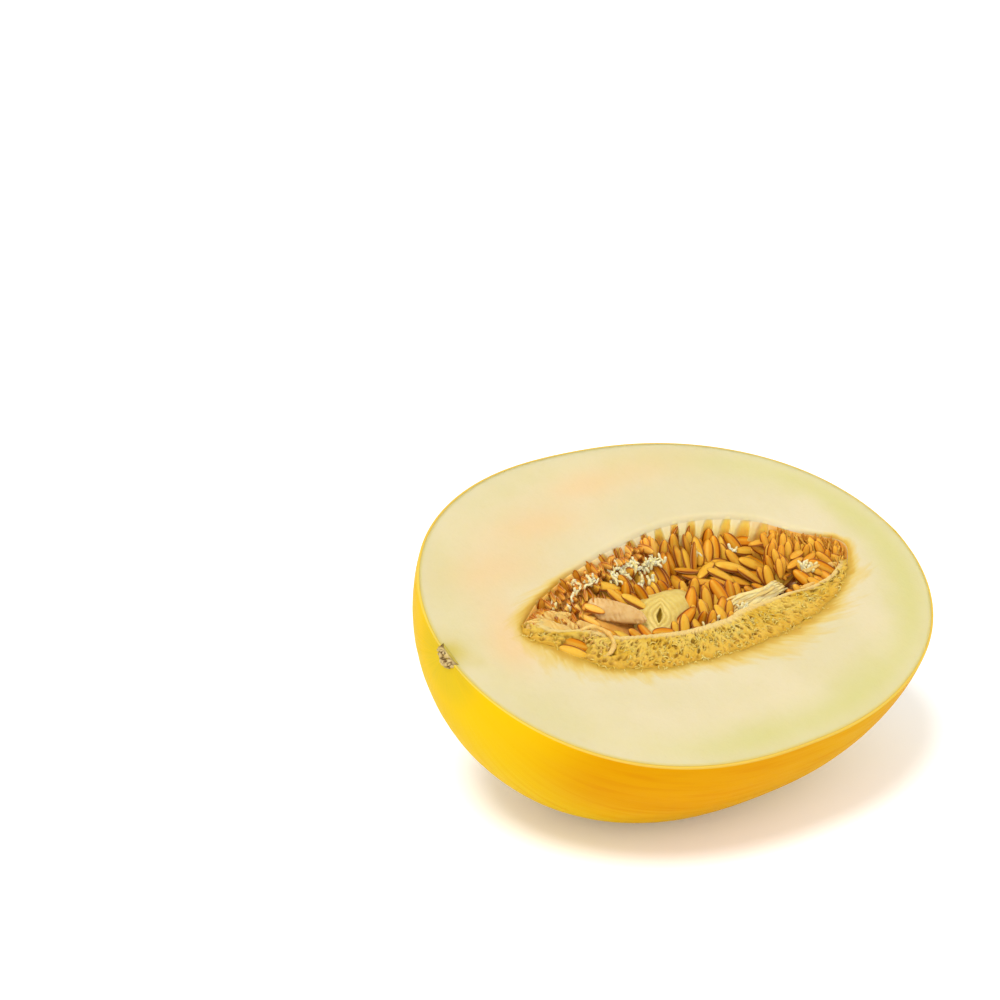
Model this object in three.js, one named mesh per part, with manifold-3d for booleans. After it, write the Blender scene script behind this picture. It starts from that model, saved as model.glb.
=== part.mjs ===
// Half of a canary melon, cut lengthways and resting on its rind.
//
// Millimetres, +Z up. X runs along the fruit, from the stalk end (-X) to the blossom end (+X).
// The fruit is modelled in a cut frame: z = 0 is the cut face, the rind is below it, and +y is the
// edge that ends up higher. The last lines lean that frame toward -Y, put the ground spot on z = 0
// and centre the object on the origin.

import * as THREE from "three";
import { mergeVertices } from "three/addons/utils/BufferGeometryUtils.js";
import Module from "manifold-3d";

const wasm = await Module();
wasm.setup();
const { degToRad, lerp } = THREE.MathUtils;

// Driving dimensions of the fruit
const HALF_LENGTH = 100;
const HALF_WIDTH = 76;
const DEPTH = 77;
const END_POWER = 2.28; // 2 gives elliptic ends, more gives fuller ones
const STALK_FULLNESS = 0.059; // the stalk end is this much fuller than the middle
const FACE_LEAN = degToRad(24);
const SPOT_DEPTH = 3.6; // height of rind that the ground spot flattens
const GAP = 0.35; // between pieces that touch

// Driving dimensions of the seed hollow in the flesh, and of the pulp bed in it
const HOLLOW_CENTRE = new THREE.Vector3(3, 0, 0);
const HOLLOW = { depth: 28, floorPower: 2.6 };
const BED = { depth: 14.5, floorPower: 4, rise: 0.085 };
const RISE_START = 20; // the bed rises toward the stalk from here
const PULP_TOP = -0.4;
const GROOVES = { count: 17, first: 0.06, last: 0.42, radius: 2.1, halfHeight: 8.6, top: -0.8 };

// Driving dimensions of a seed and of the stalk scar
const SEED = new THREE.Vector3(10.6, 4.6, 2.3);
const LAY_STEP = 0.4;
const SCAR_RADIUS = 5.2;
const SCAR_BACK = -HALF_LENGTH + 1.8;

// Rim of the hollow: along the far edge from the stalk end, then back along the near one
const HOLLOW_RIM = [
  [-69, 0], [-60, 9.5], [-46, 17], [-29, 23], [-9, 28], [12, 31], [32, 29], [48, 23], [61, 13],
  [75, 3], [69, -8], [54, -19.5], [34, -27], [12, -30], [-12, -30.5], [-34, -28.5], [-50, -22],
  [-62, -9],
];

// Rim of the space that the seeds lie in, in the same order. Its near side is the inner lip of the
// spongy pulp, and its far side runs behind the far wall, so no pulp is left in front of the ribs.
const SEED_SPACE_RIM = [
  [-61, -1], [-66, 14], [-46, 30], [-18, 39], [14, 42], [44, 36], [66, 24], [80, 6], [71, -4],
  [62, -11], [50, -14.5], [38, -15.5], [22, -17.5], [4, -19.5], [-14, -19], [-30, -15.5],
  [-40, -12.5], [-49, -6],
];

// Centre lines of the curled skin at the stalk end of the pulp, and of its strand at the other end
const CURL = [[-50, -7, -3], [-47.5, -8.2, 0], [-43.5, -11, 0.2], [-43, -16, -0.6], [-46.5, -19, -3]];
const STRAND = [[10, -19.5, -7], [22, -12, -4.5], [35, -7, -3.5], [47, -3, -5], [55, -2, -15]];

// Rows of seeds. Each runs from one place to another in the cut frame. Heading is the way the points
// face, dip how far they point down, and roll how far the seeds lie on their edge, all in degrees.
const SEED_ROWS = [
  { count: 6, from: [-56.5, 3], to: [-31, 14], heading: 55, dip: 34, roll: 60 },
  { count: 2, from: [-49, 0], to: [-45, 0.5], heading: 50, dip: 26, roll: 70 },
  { count: 2, from: [-34.5, 4.5], to: [-36.5, 0.5], heading: -25, dip: 2, roll: 15 },
  { count: 4, from: [-26, 18], to: [-7, 22.5], heading: 62, dip: 45, roll: 70 },
  { count: 3, from: [9, 24.5], to: [22, 25], heading: -92, dip: 56, roll: 0 },
  { count: 2, from: [31, 21], to: [36, 21], heading: -100, dip: 35, roll: 40 },
  { count: 1, from: [44, 18], to: [44, 18], heading: 170, dip: -5, roll: 0 },
  { count: 2, from: [18, 19], to: [21, 14.5], heading: 12, dip: -8, roll: 10 },
  { count: 3, from: [27, 13], to: [37, 8], heading: -42, dip: 5, roll: 0 },
  { count: 2, from: [39, 14], to: [44, 11], heading: -62, dip: 10, roll: 10 },
  { count: 1, from: [17, 8], to: [17, 8], heading: -15, dip: 0, roll: 0 },
  { count: 6, from: [-16, 11], to: [2, 14], heading: -82, dip: 30, roll: 62 },
  { count: 2, from: [-22.5, 12], to: [-21.5, 6.5], heading: -52, dip: 8, roll: 10 },
  { count: 4, from: [52, 14.5], to: [48, 3], heading: -100, dip: 38, roll: 15 },
  { count: 2, from: [55, 3], to: [58, 0], heading: 32, dip: -10, roll: 0 },
  { count: 3, from: [57, 8], to: [65, 4], heading: -95, dip: 46, roll: 20 },
  { count: 3, from: [53, -6], to: [62, -5], heading: -62, dip: 6, roll: 45 },
  { count: 4, from: [2, -2], to: [15, -3], heading: -98, dip: 42, roll: 5 },
  { count: 2, from: [-38, -4], to: [-29, -8], heading: -45, dip: 6, roll: 0 },
  { count: 1, from: [-53.5, -8], to: [-53.5, -8], heading: -38, dip: 2, roll: 35 },
  { count: 1, from: [-56, -13.2], to: [-56, -13.2], heading: -50, dip: 5, roll: 30 },
];

const COLOURS = { flesh: 0xf1e2b4, pulp: 0xd9c25f, seed: 0xe0962c, scar: 0x8a7148 };

// Solids and meshes

function solid(geometry) {
  const shape = geometry.clone();
  shape.deleteAttribute("normal");
  shape.deleteAttribute("uv");
  const merged = mergeVertices(shape, 1e-4);
  return new wasm.Manifold(new wasm.Mesh({
    numProp: 3,
    vertProperties: new Float32Array(merged.attributes.position.array),
    triVerts: new Uint32Array(merged.index.array),
  }));
}

function geometryOf(manifold) {
  const mesh = manifold.getMesh();
  const geometry = new THREE.BufferGeometry();
  geometry.setAttribute("position", new THREE.BufferAttribute(mesh.vertProperties, 3));
  geometry.setIndex(new THREE.BufferAttribute(mesh.triVerts, 1));
  geometry.computeVertexNormals();
  return geometry;
}

function meshOf(name, geometry, color, roughness) {
  const material = new THREE.MeshStandardMaterial({ color, roughness, metalness: 0 });
  const mesh = new THREE.Mesh(geometry, material);
  mesh.name = name;
  return mesh;
}

// Closed solid through rings of points, each counter-clockwise from above, the highest ring first
function loft(rings) {
  const count = rings[0].length;
  const points = rings.flat();
  const indices = [];
  for (let i = 0; i < count; i++) {
    const next = (i + 1) % count;
    for (let first = 0; first < points.length - count; first += count) {
      const below = first + count;
      indices.push(first + i, below + i, below + next, first + i, below + next, first + next);
    }
    const last = points.length - count;
    indices.push(points.length, i, next, points.length + 1, last + next, last + i);
  }
  points.push(middleOf(rings[0]), middleOf(rings.at(-1)));
  const geometry = new THREE.BufferGeometry().setFromPoints(points);
  geometry.setIndex(indices);
  return solid(geometry);
}

function middleOf(ring) {
  const sum = new THREE.Vector3();
  ring.forEach((point) => sum.add(point));
  return sum.divideScalar(ring.length);
}

function smoothRim(rim) {
  return new THREE.CatmullRomCurve3(rim.map(([x, y]) => new THREE.Vector3(x, y, 0)), true);
}

// Bowl below a rim: steep at the rim, rounding to a floor that can rise toward the stalk end
function bowl(rim, { depth, floorPower, rise = 0, scale = 1 }) {
  const levels = [-0.15, 0, 0.2, 0.42, 0.64, 0.82, 0.94, 1];
  const outline = smoothRim(rim).getSpacedPoints(44).slice(1).reverse();
  return loft(levels.map((level) => {
    const narrowing = scale * Math.max(1 - Math.max(level, 0) ** floorPower, 0.004) ** (1 / floorPower);
    return outline.map((point) => {
      const place = HOLLOW_CENTRE.clone().lerp(point, narrowing);
      const depthHere = depth - rise * Math.max(RISE_START - place.x, 0);
      return place.setZ(-depthHere * level * scale);
    });
  }));
}

// Everything above a height in the cut frame
function above(height) {
  return solid(new THREE.BoxGeometry(400, 400, 200).translate(0, 0, height + 100));
}

// Soft round tube along a curve, closed at both ends
function softTube(points, radius) {
  const circle = new THREE.Path().absarc(0, 0, radius, 0, 2 * Math.PI).getPoints(4);
  const path = new THREE.CatmullRomCurve3(points.map((point) => new THREE.Vector3(...point)));
  const shape = new THREE.Shape(circle.slice(1));
  return solid(new THREE.ExtrudeGeometry(shape, { steps: 12, bevelEnabled: false, extrudePath: path }));
}

// Soft lump: a sphere drawn out to three radii, then turned and placed
function softLobe(radii, place, turn) {
  const lobe = new THREE.SphereGeometry(1, 12, 8);
  lobe.scale(...radii);
  lobe.applyMatrix4(new THREE.Matrix4().makeRotationFromEuler(new THREE.Euler(...turn, "ZYX")));
  lobe.translate(...place);
  return solid(lobe);
}

// Flesh and rind, which grow as one piece

function bodyRadius(t) {
  return Math.sqrt(1 - Math.abs(t) ** END_POWER) * (1 - STALK_FULLNESS * t);
}

function wholeFruit() {
  const stations = 34;
  const profile = [];
  for (let i = 0; i <= stations; i++) {
    const t = -Math.cos(Math.PI * i / stations);
    profile.push(new THREE.Vector2(bodyRadius(t), HALF_LENGTH * t));
  }
  const geometry = new THREE.LatheGeometry(profile, 64);
  geometry.scale(HALF_WIDTH, 1, DEPTH);
  geometry.rotateZ(-Math.PI / 2);
  return solid(geometry);
}

// Level ground under the fruit, seen in the cut frame, up to the height that it flattens
function groundBlock() {
  const lowest = -Math.hypot(HALF_WIDTH * Math.sin(FACE_LEAN), DEPTH * Math.cos(FACE_LEAN));
  const block = new THREE.BoxGeometry(400, 400, 100);
  block.translate(0, 0, lowest + SPOT_DEPTH - 50);
  block.rotateX(-FACE_LEAN);
  return solid(block);
}

// Grooves that the outermost seeds pressed into the far wall, leaving ribs between them
function wallGrooves() {
  const rim = smoothRim(HOLLOW_RIM);
  const grooves = [];
  for (let i = 0; i < GROOVES.count; i++) {
    const place = rim.getPointAt(lerp(GROOVES.first, GROOVES.last, i / (GROOVES.count - 1)));
    const groove = new THREE.SphereGeometry(1, 8, 6);
    groove.rotateX(Math.PI / 2);
    groove.scale(GROOVES.radius, GROOVES.radius, GROOVES.halfHeight);
    groove.translate(place.x, place.y, GROOVES.top - GROOVES.halfHeight);
    grooves.push(solid(groove));
  }
  return grooves.reduce((joined, groove) => joined.add(groove));
}

// Round recess at the stalk end, one gap larger than the scar in it
function scarRecess() {
  const recess = new THREE.CylinderGeometry(SCAR_RADIUS + GAP, SCAR_RADIUS + GAP, 20, 20);
  recess.rotateZ(Math.PI / 2);
  recess.translate(SCAR_BACK + GAP - 10, 0, 0);
  return solid(recess);
}

function fleshAndRind() {
  return wholeFruit()
    .subtract(above(0))
    .subtract(groundBlock())
    .subtract(bowl(HOLLOW_RIM, HOLLOW))
    .subtract(wallGrooves())
    .subtract(scarRecess());
}

// Stalk scar: a corky disc with a raised rim, cut in two with the fruit
function stalkScar() {
  const outline = [
    [0, 0], [SCAR_RADIUS, 0], [SCAR_RADIUS, 1.6], [4.2, 2.9], [2.8, 2.7], [1.6, 1.9], [0, 1.7],
  ];
  const disc = new THREE.LatheGeometry(outline.map(([r, height]) => new THREE.Vector2(r, height)), 16);
  disc.rotateZ(Math.PI / 2);
  disc.translate(SCAR_BACK, 0, 0);
  return solid(disc).subtract(above(0));
}

// Pulp: one soft tissue that holds the seeds

// Ring-like lobe that stands in the middle of the hollow
function pulpRing() {
  const ring = new THREE.TorusGeometry(4.6, 3.3, 8, 16);
  ring.scale(1.3, 1.1, 1);
  ring.rotateX(0.9);
  ring.rotateZ(-0.35);
  ring.translate(-11.5, -5, -7.5);
  return solid(ring);
}

function seedPulp() {
  const filling = bowl(HOLLOW_RIM, { ...HOLLOW, scale: 0.985 });
  const flap = softLobe([9.5, 4.6, 1.4], [-27, -1, -5], [0.5, 0.1, -0.5]);
  const pocket = softLobe([8.5, 7, 4.8], [-54.5, -10, -0.4], [0, 0, 0]);
  return filling
    .subtract(above(PULP_TOP))
    .subtract(bowl(SEED_SPACE_RIM, BED))
    .add(pulpRing())
    .add(flap)
    .add(softTube(CURL, 1.6))
    .add(softTube(STRAND, 1.4))
    .subtract(pocket);
}

// Seeds

// Almond shape of unit size along X, with its point toward +X
function seedShape() {
  const steps = 5;
  const profile = [new THREE.Vector2(0, -0.5)];
  for (let i = 1; i < steps; i++) {
    const along = i / steps;
    const radius = 0.5 * Math.sin(Math.PI * along) ** 0.62 * (1.1 - 0.3 * along);
    profile.push(new THREE.Vector2(radius, along - 0.5));
  }
  profile.push(new THREE.Vector2(0, 0.5));
  return new THREE.LatheGeometry(profile, 8).rotateZ(-Math.PI / 2);
}

// One mesh per place in every row, each turned a little away from its neighbours
function seedsInRows() {
  const shape = seedShape();
  const seeds = [];
  for (const { count, from, to, heading, dip, roll } of SEED_ROWS) {
    for (let i = 0; i < count; i++) {
      const number = seeds.length + 1;
      const along = count > 1 ? i / (count - 1) : 0;
      const wobble = Math.sin(2.4 * number);
      const seed = meshOf(`seed_${String(number).padStart(2, "0")}`, shape, COLOURS.seed, 0.3);
      const turn = [roll + 9 * wobble, dip - 5 * wobble, heading + 10 * wobble].map(degToRad);
      seed.rotation.set(...turn, "ZYX");
      seed.scale.copy(SEED).multiplyScalar(1 + 0.05 * Math.cos(3.1 * number));
      seed.position.set(lerp(from[0], to[0], along), lerp(from[1], to[1], along) + 0.8 * wobble, -BED.depth);
      seeds.push(seed);
    }
  }
  return seeds;
}

// Solid of a mesh in the cut frame, swollen by a margin on every side
function swollen(mesh, margin) {
  const copy = mesh.clone();
  copy.scale.addScalar(2 * margin);
  copy.updateMatrix();
  return solid(mesh.geometry.clone().applyMatrix4(copy.matrix));
}

// Lays seeds one after another: each starts low and rises until it is clear of all that is there
function lay(seeds, surroundings) {
  const there = [...surroundings];
  for (const seed of seeds) {
    const isClear = () => there.every((other) => swollen(seed, GAP / 2).intersect(other).isEmpty());
    while (!isClear()) seed.position.z += LAY_STEP;
    there.push(swollen(seed, 0));
  }
}

// The object

const flesh = fleshAndRind();
const pulp = seedPulp();
const seeds = seedsInRows();
lay(seeds, [flesh, pulp]);

const cutFrame = new THREE.Group();
cutFrame.rotation.x = FACE_LEAN;
cutFrame.add(meshOf("melon_half", geometryOf(flesh), COLOURS.flesh, 0.5));
cutFrame.add(meshOf("stem_scar", geometryOf(stalkScar()), COLOURS.scar, 0.9));
cutFrame.add(meshOf("seed_pulp", geometryOf(pulp), COLOURS.pulp, 0.4));
cutFrame.add(...seeds);

const melon = new THREE.Group();
melon.add(cutFrame);
const box = new THREE.Box3().setFromObject(melon, true);
const middle = box.getCenter(new THREE.Vector3());
melon.position.set(-middle.x, -middle.y, -box.min.z);

export default melon;
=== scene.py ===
import math

import bmesh
import bpy
import numpy as np
from mathutils import Matrix, Vector


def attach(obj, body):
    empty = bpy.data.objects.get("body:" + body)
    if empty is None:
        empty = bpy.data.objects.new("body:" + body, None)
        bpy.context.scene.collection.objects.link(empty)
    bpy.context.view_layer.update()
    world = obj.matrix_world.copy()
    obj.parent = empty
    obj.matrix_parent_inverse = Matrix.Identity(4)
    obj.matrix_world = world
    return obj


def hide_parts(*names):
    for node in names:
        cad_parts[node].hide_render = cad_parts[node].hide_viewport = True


# The looks of a halved canary melon. Shapes are worked out in millimetres in the fruit's cut frame,
# where z = 0 is the cut face, x runs from stalk to blossom and +y is the higher edge. place() puts
# them into the part's frame, in metres.

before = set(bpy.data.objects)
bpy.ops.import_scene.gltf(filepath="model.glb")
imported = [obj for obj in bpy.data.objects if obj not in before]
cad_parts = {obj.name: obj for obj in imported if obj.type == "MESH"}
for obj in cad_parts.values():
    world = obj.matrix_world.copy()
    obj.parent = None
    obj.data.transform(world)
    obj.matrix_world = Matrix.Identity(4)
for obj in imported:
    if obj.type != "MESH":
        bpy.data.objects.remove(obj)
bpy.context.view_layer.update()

# Driving dimensions of the fruit, in millimetres
METRES = 0.001
HALF_LENGTH = 100.0
HALF_WIDTH = 76.0
DEPTH = 77.0
END_POWER = 2.28  # how blunt the ends are
STALK_FULLNESS = 0.059  # how much fuller the stalk end is than the blossom end
FACE_LEAN = math.radians(24.0)
SPOT_DEPTH = 3.6  # how far the ground spot is pressed in
SPOT_SOFTNESS = 0.45
RIND_THICKNESS = 1.0
FLESH_OVERLAP = 0.1  # how far the flesh reaches into the skin
LUMP_SIZE = 55.0
LUMP_HEIGHT = 0.45
FURROW_WIDTH = 9.0
FURROW_STRETCH = 9.0  # length of a furrow over its width
FURROW_HEIGHT = 0.16
MEAN_RADIUS = 90.0  # the size at which lumps and furrows have their full height

# Fineness of the meshes, as counts of points or rings
RIND_GRID = (230, 130)
FLESH_STATIONS = 360
HIDDEN_SWEEP = 30  # round the side of the flesh under the rind
WALL_RINGS = 56
PULP_DIRECTIONS = 780
BED_RINGS = 46
BAND_RINGS = 44
BELOW_RINGS = 8
LOBE_GRID = (66, 160)
LEAF_GRID = (80, 36)
STRAND_POINTS = 80
CURL_POINTS = 90
SEED_GRID_SIZE = (16, 20)
SCAR_GRID = (26, 96)

# Rounded edge of the skin at the cut: share of its thickness inward, and drop
SKIN_LIP = [(0.12, 0.08), (0.4, 0.0)]
OUTER_DROP = 0.25
INNER_DROP = 0.05

# Seed hollow
HOLLOW_CENTRE = np.array([3.0, 0.0])
HOLLOW_DEPTH = 28.0
HOLLOW_POWER = 2.6
FAR_FROM_RIND = 40.0  # what the hollow's wall counts as
NEAR_RIM_ROLL = 0.35  # how far from its edge the rim begins to round over
FAR_RIM_ROLL = 2.75
WALL_LEAN = 5.0  # how far the far wall comes in between its rim and the seeds
GROOVE_COUNT = 17
GROOVE_FIRST = 0.06  # shares of the rim's length, clockwise from the stalk end
GROOVE_LAST = 0.42
GROOVE_RADIUS = 2.5
GROOVE_HALF_HEIGHT = 8.6
GROOVE_TOP = -1.0
GROOVE_BITE = 1.0
GROOVE_LEAN = 0.24  # toward the blossom end, for each millimetre of depth
RIM_POINTS = 2000

# Control points of the hollow's rim, from the stalk end round the far side, and of the rim of the
# space for seeds, which the spongy band leaves free
HOLLOW_RIM = [
    (-69, 0), (-60, 9.5), (-46, 17), (-29, 23), (-9, 28), (12, 31), (32, 29), (48, 23), (61, 13),
    (75, 3), (69, -8), (54, -19.5), (34, -27), (12, -30), (-12, -30.5), (-34, -28.5), (-50, -22),
    (-62, -9),
]
SEED_SPACE_RIM = [
    (-61, -1), (-66, 14), (-46, 30), (-18, 39), (14, 42), (44, 36), (66, 24), (80, 6), (71, -4),
    (62, -11), (50, -14.5), (38, -15.5), (22, -17.5), (4, -19.5), (-14, -19), (-30, -15.5),
    (-40, -12.5), (-49, -6),
]

# Pulp bed and band
BED_DEPTH = 14.5
BED_RISE = 0.085  # toward the stalk, for each millimetre before RISE_START
RISE_START = 20.0
BED_STIFFNESS = 0.15  # how little the bed follows its seeds
SEED_SPREAD = 6.0
SEED_SINK = 1.8
LIP_TOP = 0.3
LIP_ROLL = 2.2  # how far the rolled inner lip leans over the seeds
LIP_EXTRA_ROLL = 1.8  # and how much further under the strands
PULP_TOP = 0.7  # no crumb stands higher above the cut face

# Ovals in the cut face, each a middle and two half sizes
POCKET = ((-55.0, -11.0), (6.0, 5.0))  # inside the curled skin
POCKET_DEPTH = 4.4
# The hole is painted dark in the pulp's colour, as shade.
HOLE = ((47.0, -5.4), (5.2, 4.2))  # dark hole beside the strands
HOLE_DEPTH = 7.5
SCAR_STAIN = ((-98.0, 1.0), (6.5, 6.5))
BIG_TISSUES = [
    # where a filler seed would show through the lobe, the flap or the hole
    ((-12.0, -3.5), (9.5, 8.0)),
    ((-29.0, -0.5), (11.0, 6.0)),
    ((47.5, -4.8), (7.5, 6.0)),
]

# Slit lobe among the seeds
LOBE_MIDDLE = np.array([-13.0, -4.0, -5.6])
LOBE_LEAN = 0.78
SLIT_HALVES = (0.5, 2.6)
SLIT_TURN = 0.12
FOLD_PITCH = 1.9

# Stalk scar
SCAR_RADIUS = 5.2
SCAR_SEAT = -98.2  # where its flat back stands along the fruit
SCAR_PROFILE = [(0.0, -2.5), (0.3, -2.6), (0.55, -2.9), (0.8, -2.8), (0.95, -1.8), (1.0, -0.4)]

# Camera: the reference view
CAMERA_AZIMUTH = math.radians(-34.0)
CAMERA_ELEVATION = math.radians(20.6)
CAMERA_DISTANCE = 800.0
CAMERA_RIGHT = -65.4  # from the middle of the cut face, along the view's right and up
CAMERA_UP = 31.2
LENS_RATIO = 2.281  # focal length over sensor width

# Light. It is so bright that the open floor turns white, and PAINT_SHARE dims every paint to match.
SKY_STRENGTH = 0.72
FLOOR_GLOW = 0.1
PAINT_SHARE = 0.602
SUNS = [
    # name, strength, width in degrees, direction, whether it casts shadows
    ("soft_sun", 2.4, 22.0, (0.46, 0.2, -1.0), True),
    ("front_fill", 0.95, 60.0, (0.45, 0.80, -0.42), False),
    ("side_fill", 0.42, 60.0, (-0.80, 0.40, -0.45), False),
]


# --- Places -------------------------------------------------------------------------------------

ALONG = np.array([1.0, 0.0, 0.0])
ACROSS = np.array([0.0, math.cos(FACE_LEAN), math.sin(FACE_LEAN)])
NORMAL = np.array([0.0, -math.sin(FACE_LEAN), math.cos(FACE_LEAN)])
TO_PART = np.array([ALONG, ACROSS, NORMAL])


def node_points(name):
    """A CAD node's vertices in metres."""
    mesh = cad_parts[name].data
    points = np.empty(len(mesh.vertices) * 3)
    mesh.vertices.foreach_get("co", points)
    return points.reshape(-1, 3)


def find_face_middle():
    """Middle of the cut face in metres, from the CAD fruit."""
    points = node_points("melon_half")
    height = points @ NORMAL
    rim = points[height > height.max() - 1e-5] @ ACROSS
    along = points[:, 0].max() - HALF_LENGTH * METRES
    return along * ALONG + (rim.max() + rim.min()) / 2 * ACROSS + height.max() * NORMAL


FACE_MIDDLE = find_face_middle()


def place(points):
    """Cut frame in millimetres to part's frame in metres."""
    return np.asarray(points) @ TO_PART * METRES + FACE_MIDDLE


def to_cut(points):
    """Part's frame in metres to cut frame in millimetres."""
    return (np.asarray(points) - FACE_MIDDLE) @ TO_PART.T / METRES


def camera_axes():
    """The reference view's right, up and back, in the part's frame."""
    level = math.cos(CAMERA_ELEVATION)
    back = np.array([math.sin(CAMERA_AZIMUTH) * level, -math.cos(CAMERA_AZIMUTH) * level,
                     math.sin(CAMERA_ELEVATION)])
    right = np.array([math.cos(CAMERA_AZIMUTH), math.sin(CAMERA_AZIMUTH), 0.0])
    return right, np.cross(back, right), back


def facing(angle, lean):
    """A piece's own axes when it faces the reference view, turned by an angle in degrees.

    lean is how far it leans back to lie along the cut face, 0 to 1.
    """
    right, up, back = (TO_PART @ axis for axis in camera_axes())
    normal = (1.0 - lean) * back + lean * np.array([0.0, 0.0, 1.0])
    normal /= np.linalg.norm(normal)
    along = math.cos(math.radians(angle)) * right + math.sin(math.radians(angle)) * up
    along -= normal * (along @ normal)
    along /= np.linalg.norm(along)
    return np.array([along, np.cross(normal, along), normal])


def turned(heading, elevation, roll):
    """Rows are a piece's own axes: along, across, and up. Angles in degrees."""
    h, e, r = (math.radians(angle) for angle in (heading, elevation, roll))
    along = np.array([math.cos(e) * math.cos(h), math.cos(e) * math.sin(h), math.sin(e)])
    level = np.array([-math.sin(h), math.cos(h), 0.0])
    up = np.cross(along, level)
    across = math.cos(r) * level + math.sin(r) * up
    return np.array([along, across, math.cos(r) * up - math.sin(r) * level])


def from_centre(theta, radius):
    """2-D places in directions from the hollow's centre, at radii from it."""
    return HOLLOW_CENTRE + np.stack([radius * np.cos(theta), radius * np.sin(theta)], axis=-1)


def raised(flat, height=0.0):
    """Places at a height, from 2-D ones."""
    return np.concatenate([flat, np.broadcast_to(height, flat.shape[:-1])[..., None]], axis=-1)


def oval(flat, middle, halves):
    """Squared distance of 2-D places from an oval's middle. It is 1 on the oval."""
    return (((np.asarray(flat) - middle) / halves) ** 2).sum(axis=-1)


# --- Noise and curves ---------------------------------------------------------------------------

def smooth(value, low, high):
    """0 below low, 1 above high, and smooth between."""
    t = np.clip((value - low) / (high - low), 0.0, 1.0)
    return t * t * (3.0 - 2.0 * t)


def lattice(cells, seed):
    """A repeatable number from 0 to 1 for each whole-number cell."""
    cells = cells.astype(np.int64)
    mixed = cells[..., 0] * 374761393 + cells[..., 1] * 668265263 + cells[..., 2] * 2147483647
    mixed = (mixed + seed * 144665) & 0xFFFFFFFF
    mixed = ((mixed ^ (mixed >> 13)) * 1274126177) & 0xFFFFFFFF
    mixed = ((mixed ^ (mixed >> 16)) * 2246822519) & 0xFFFFFFFF
    return ((mixed ^ (mixed >> 15)) & 0xFFFFFF) / float(0xFFFFFF)


def value_noise(points, seed):
    """Smooth noise from -1 to 1 at points with three coordinates, one unit per cell."""
    base = np.floor(points)
    t = points - base
    t = t * t * (3.0 - 2.0 * t)
    total = np.zeros(points.shape[:-1])
    for corner in np.ndindex(2, 2, 2):
        weight = np.prod(np.where(corner, t, 1.0 - t), axis=-1)
        total += weight * lattice(base + corner, seed)
    return 2.0 * total - 1.0


def fractal(points, size, octaves, seed):
    """Layered noise of about -1 to 1. size is the largest feature, one number or one per axis."""
    scaled = np.asarray(points, dtype=float) / size
    total = np.zeros(scaled.shape[:-1])
    strength = 1.0
    for octave in range(octaves):
        total += strength * value_noise(scaled * 2.0 ** octave + 17.3 * octave, seed + octave)
        strength *= 0.5
    return total / (2.0 - 2.0 ** (1 - octaves))


def wobble(points, size, octaves, seed):
    """Layered noise for each of three coordinates."""
    return np.stack([fractal(points, size, octaves, seed + k) for k in range(3)], axis=-1)


def cell_distances(points, size, seed):
    """Distance to the nearest and second nearest of scattered cell middles, in cells."""
    scaled = np.asarray(points, dtype=float) / size
    base = np.floor(scaled)
    nearest = np.full(scaled.shape[:-1], 9.0)
    second = nearest.copy()
    for step in np.ndindex(3, 3, 3):
        cell = base + np.array(step) - 1
        middle = cell + np.stack([lattice(cell, seed + k) for k in (11, 12, 13)], axis=-1)
        distance = np.linalg.norm(scaled - middle, axis=-1)
        second = np.minimum(second, np.maximum(nearest, distance))
        nearest = np.minimum(nearest, distance)
    return nearest, second


def curve_part(a, b, c, d, t):
    """Points from b to c, at shares t, of a smooth curve through four control points."""
    bend = (2 * a - 5 * b + 4 * c - d) * t ** 2 + (3 * b - a - 3 * c + d) * t ** 3
    return 0.5 * (2 * b + (c - a) * t + bend)


def run_along(points):
    """Length of a polyline from its first point up to each of its points."""
    return np.concatenate([[0], np.cumsum(np.linalg.norm(np.diff(points, axis=0), axis=1))])


def closed_curve(control, count):
    """Points at even spacing on a smooth closed curve through 2-D control points."""
    control = np.array(control, dtype=float)
    t = np.linspace(0, 1, 24, endpoint=False)[:, None]
    corners = (np.roll(control, -k, axis=0) for k in (-1, 0, 1, 2))
    fine = np.concatenate([curve_part(a, b, c, d, t) for a, b, c, d in zip(*corners)])
    loop = np.vstack([fine, fine[:1]])
    run = run_along(loop)
    even = np.linspace(0, run[-1], count, endpoint=False)
    return np.stack([np.interp(even, run, loop[:, k]) for k in (0, 1)], axis=1)


def smooth_path(control, count):
    """Open smooth curve of a count of points through control points."""
    control = np.array(control, dtype=float)
    ends = np.vstack([2 * control[0] - control[1], control, 2 * control[-1] - control[-2]])
    place_on = np.linspace(0, len(control) - 1, count)
    part = np.minimum(place_on.astype(int), len(control) - 2)
    return curve_part(*(ends[part + k] for k in range(4)), (place_on - part)[:, None])


def polar_rim(control):
    """Function from direction angle about the hollow's centre to the rim's radius."""
    points = closed_curve(control, 1440) - HOLLOW_CENTRE
    angle = np.arctan2(points[:, 1], points[:, 0])
    order = np.argsort(angle)
    angle = angle[order]
    radius = np.linalg.norm(points, axis=1)[order]
    return lambda theta: np.interp(theta, angle, radius, period=2 * math.pi)


hollow_radius = polar_rim(HOLLOW_RIM)
seed_space_radius = polar_rim(SEED_SPACE_RIM)
RIM_LINE = closed_curve(HOLLOW_RIM, RIM_POINTS)


# --- Mesh helpers -------------------------------------------------------------------------------

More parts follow.
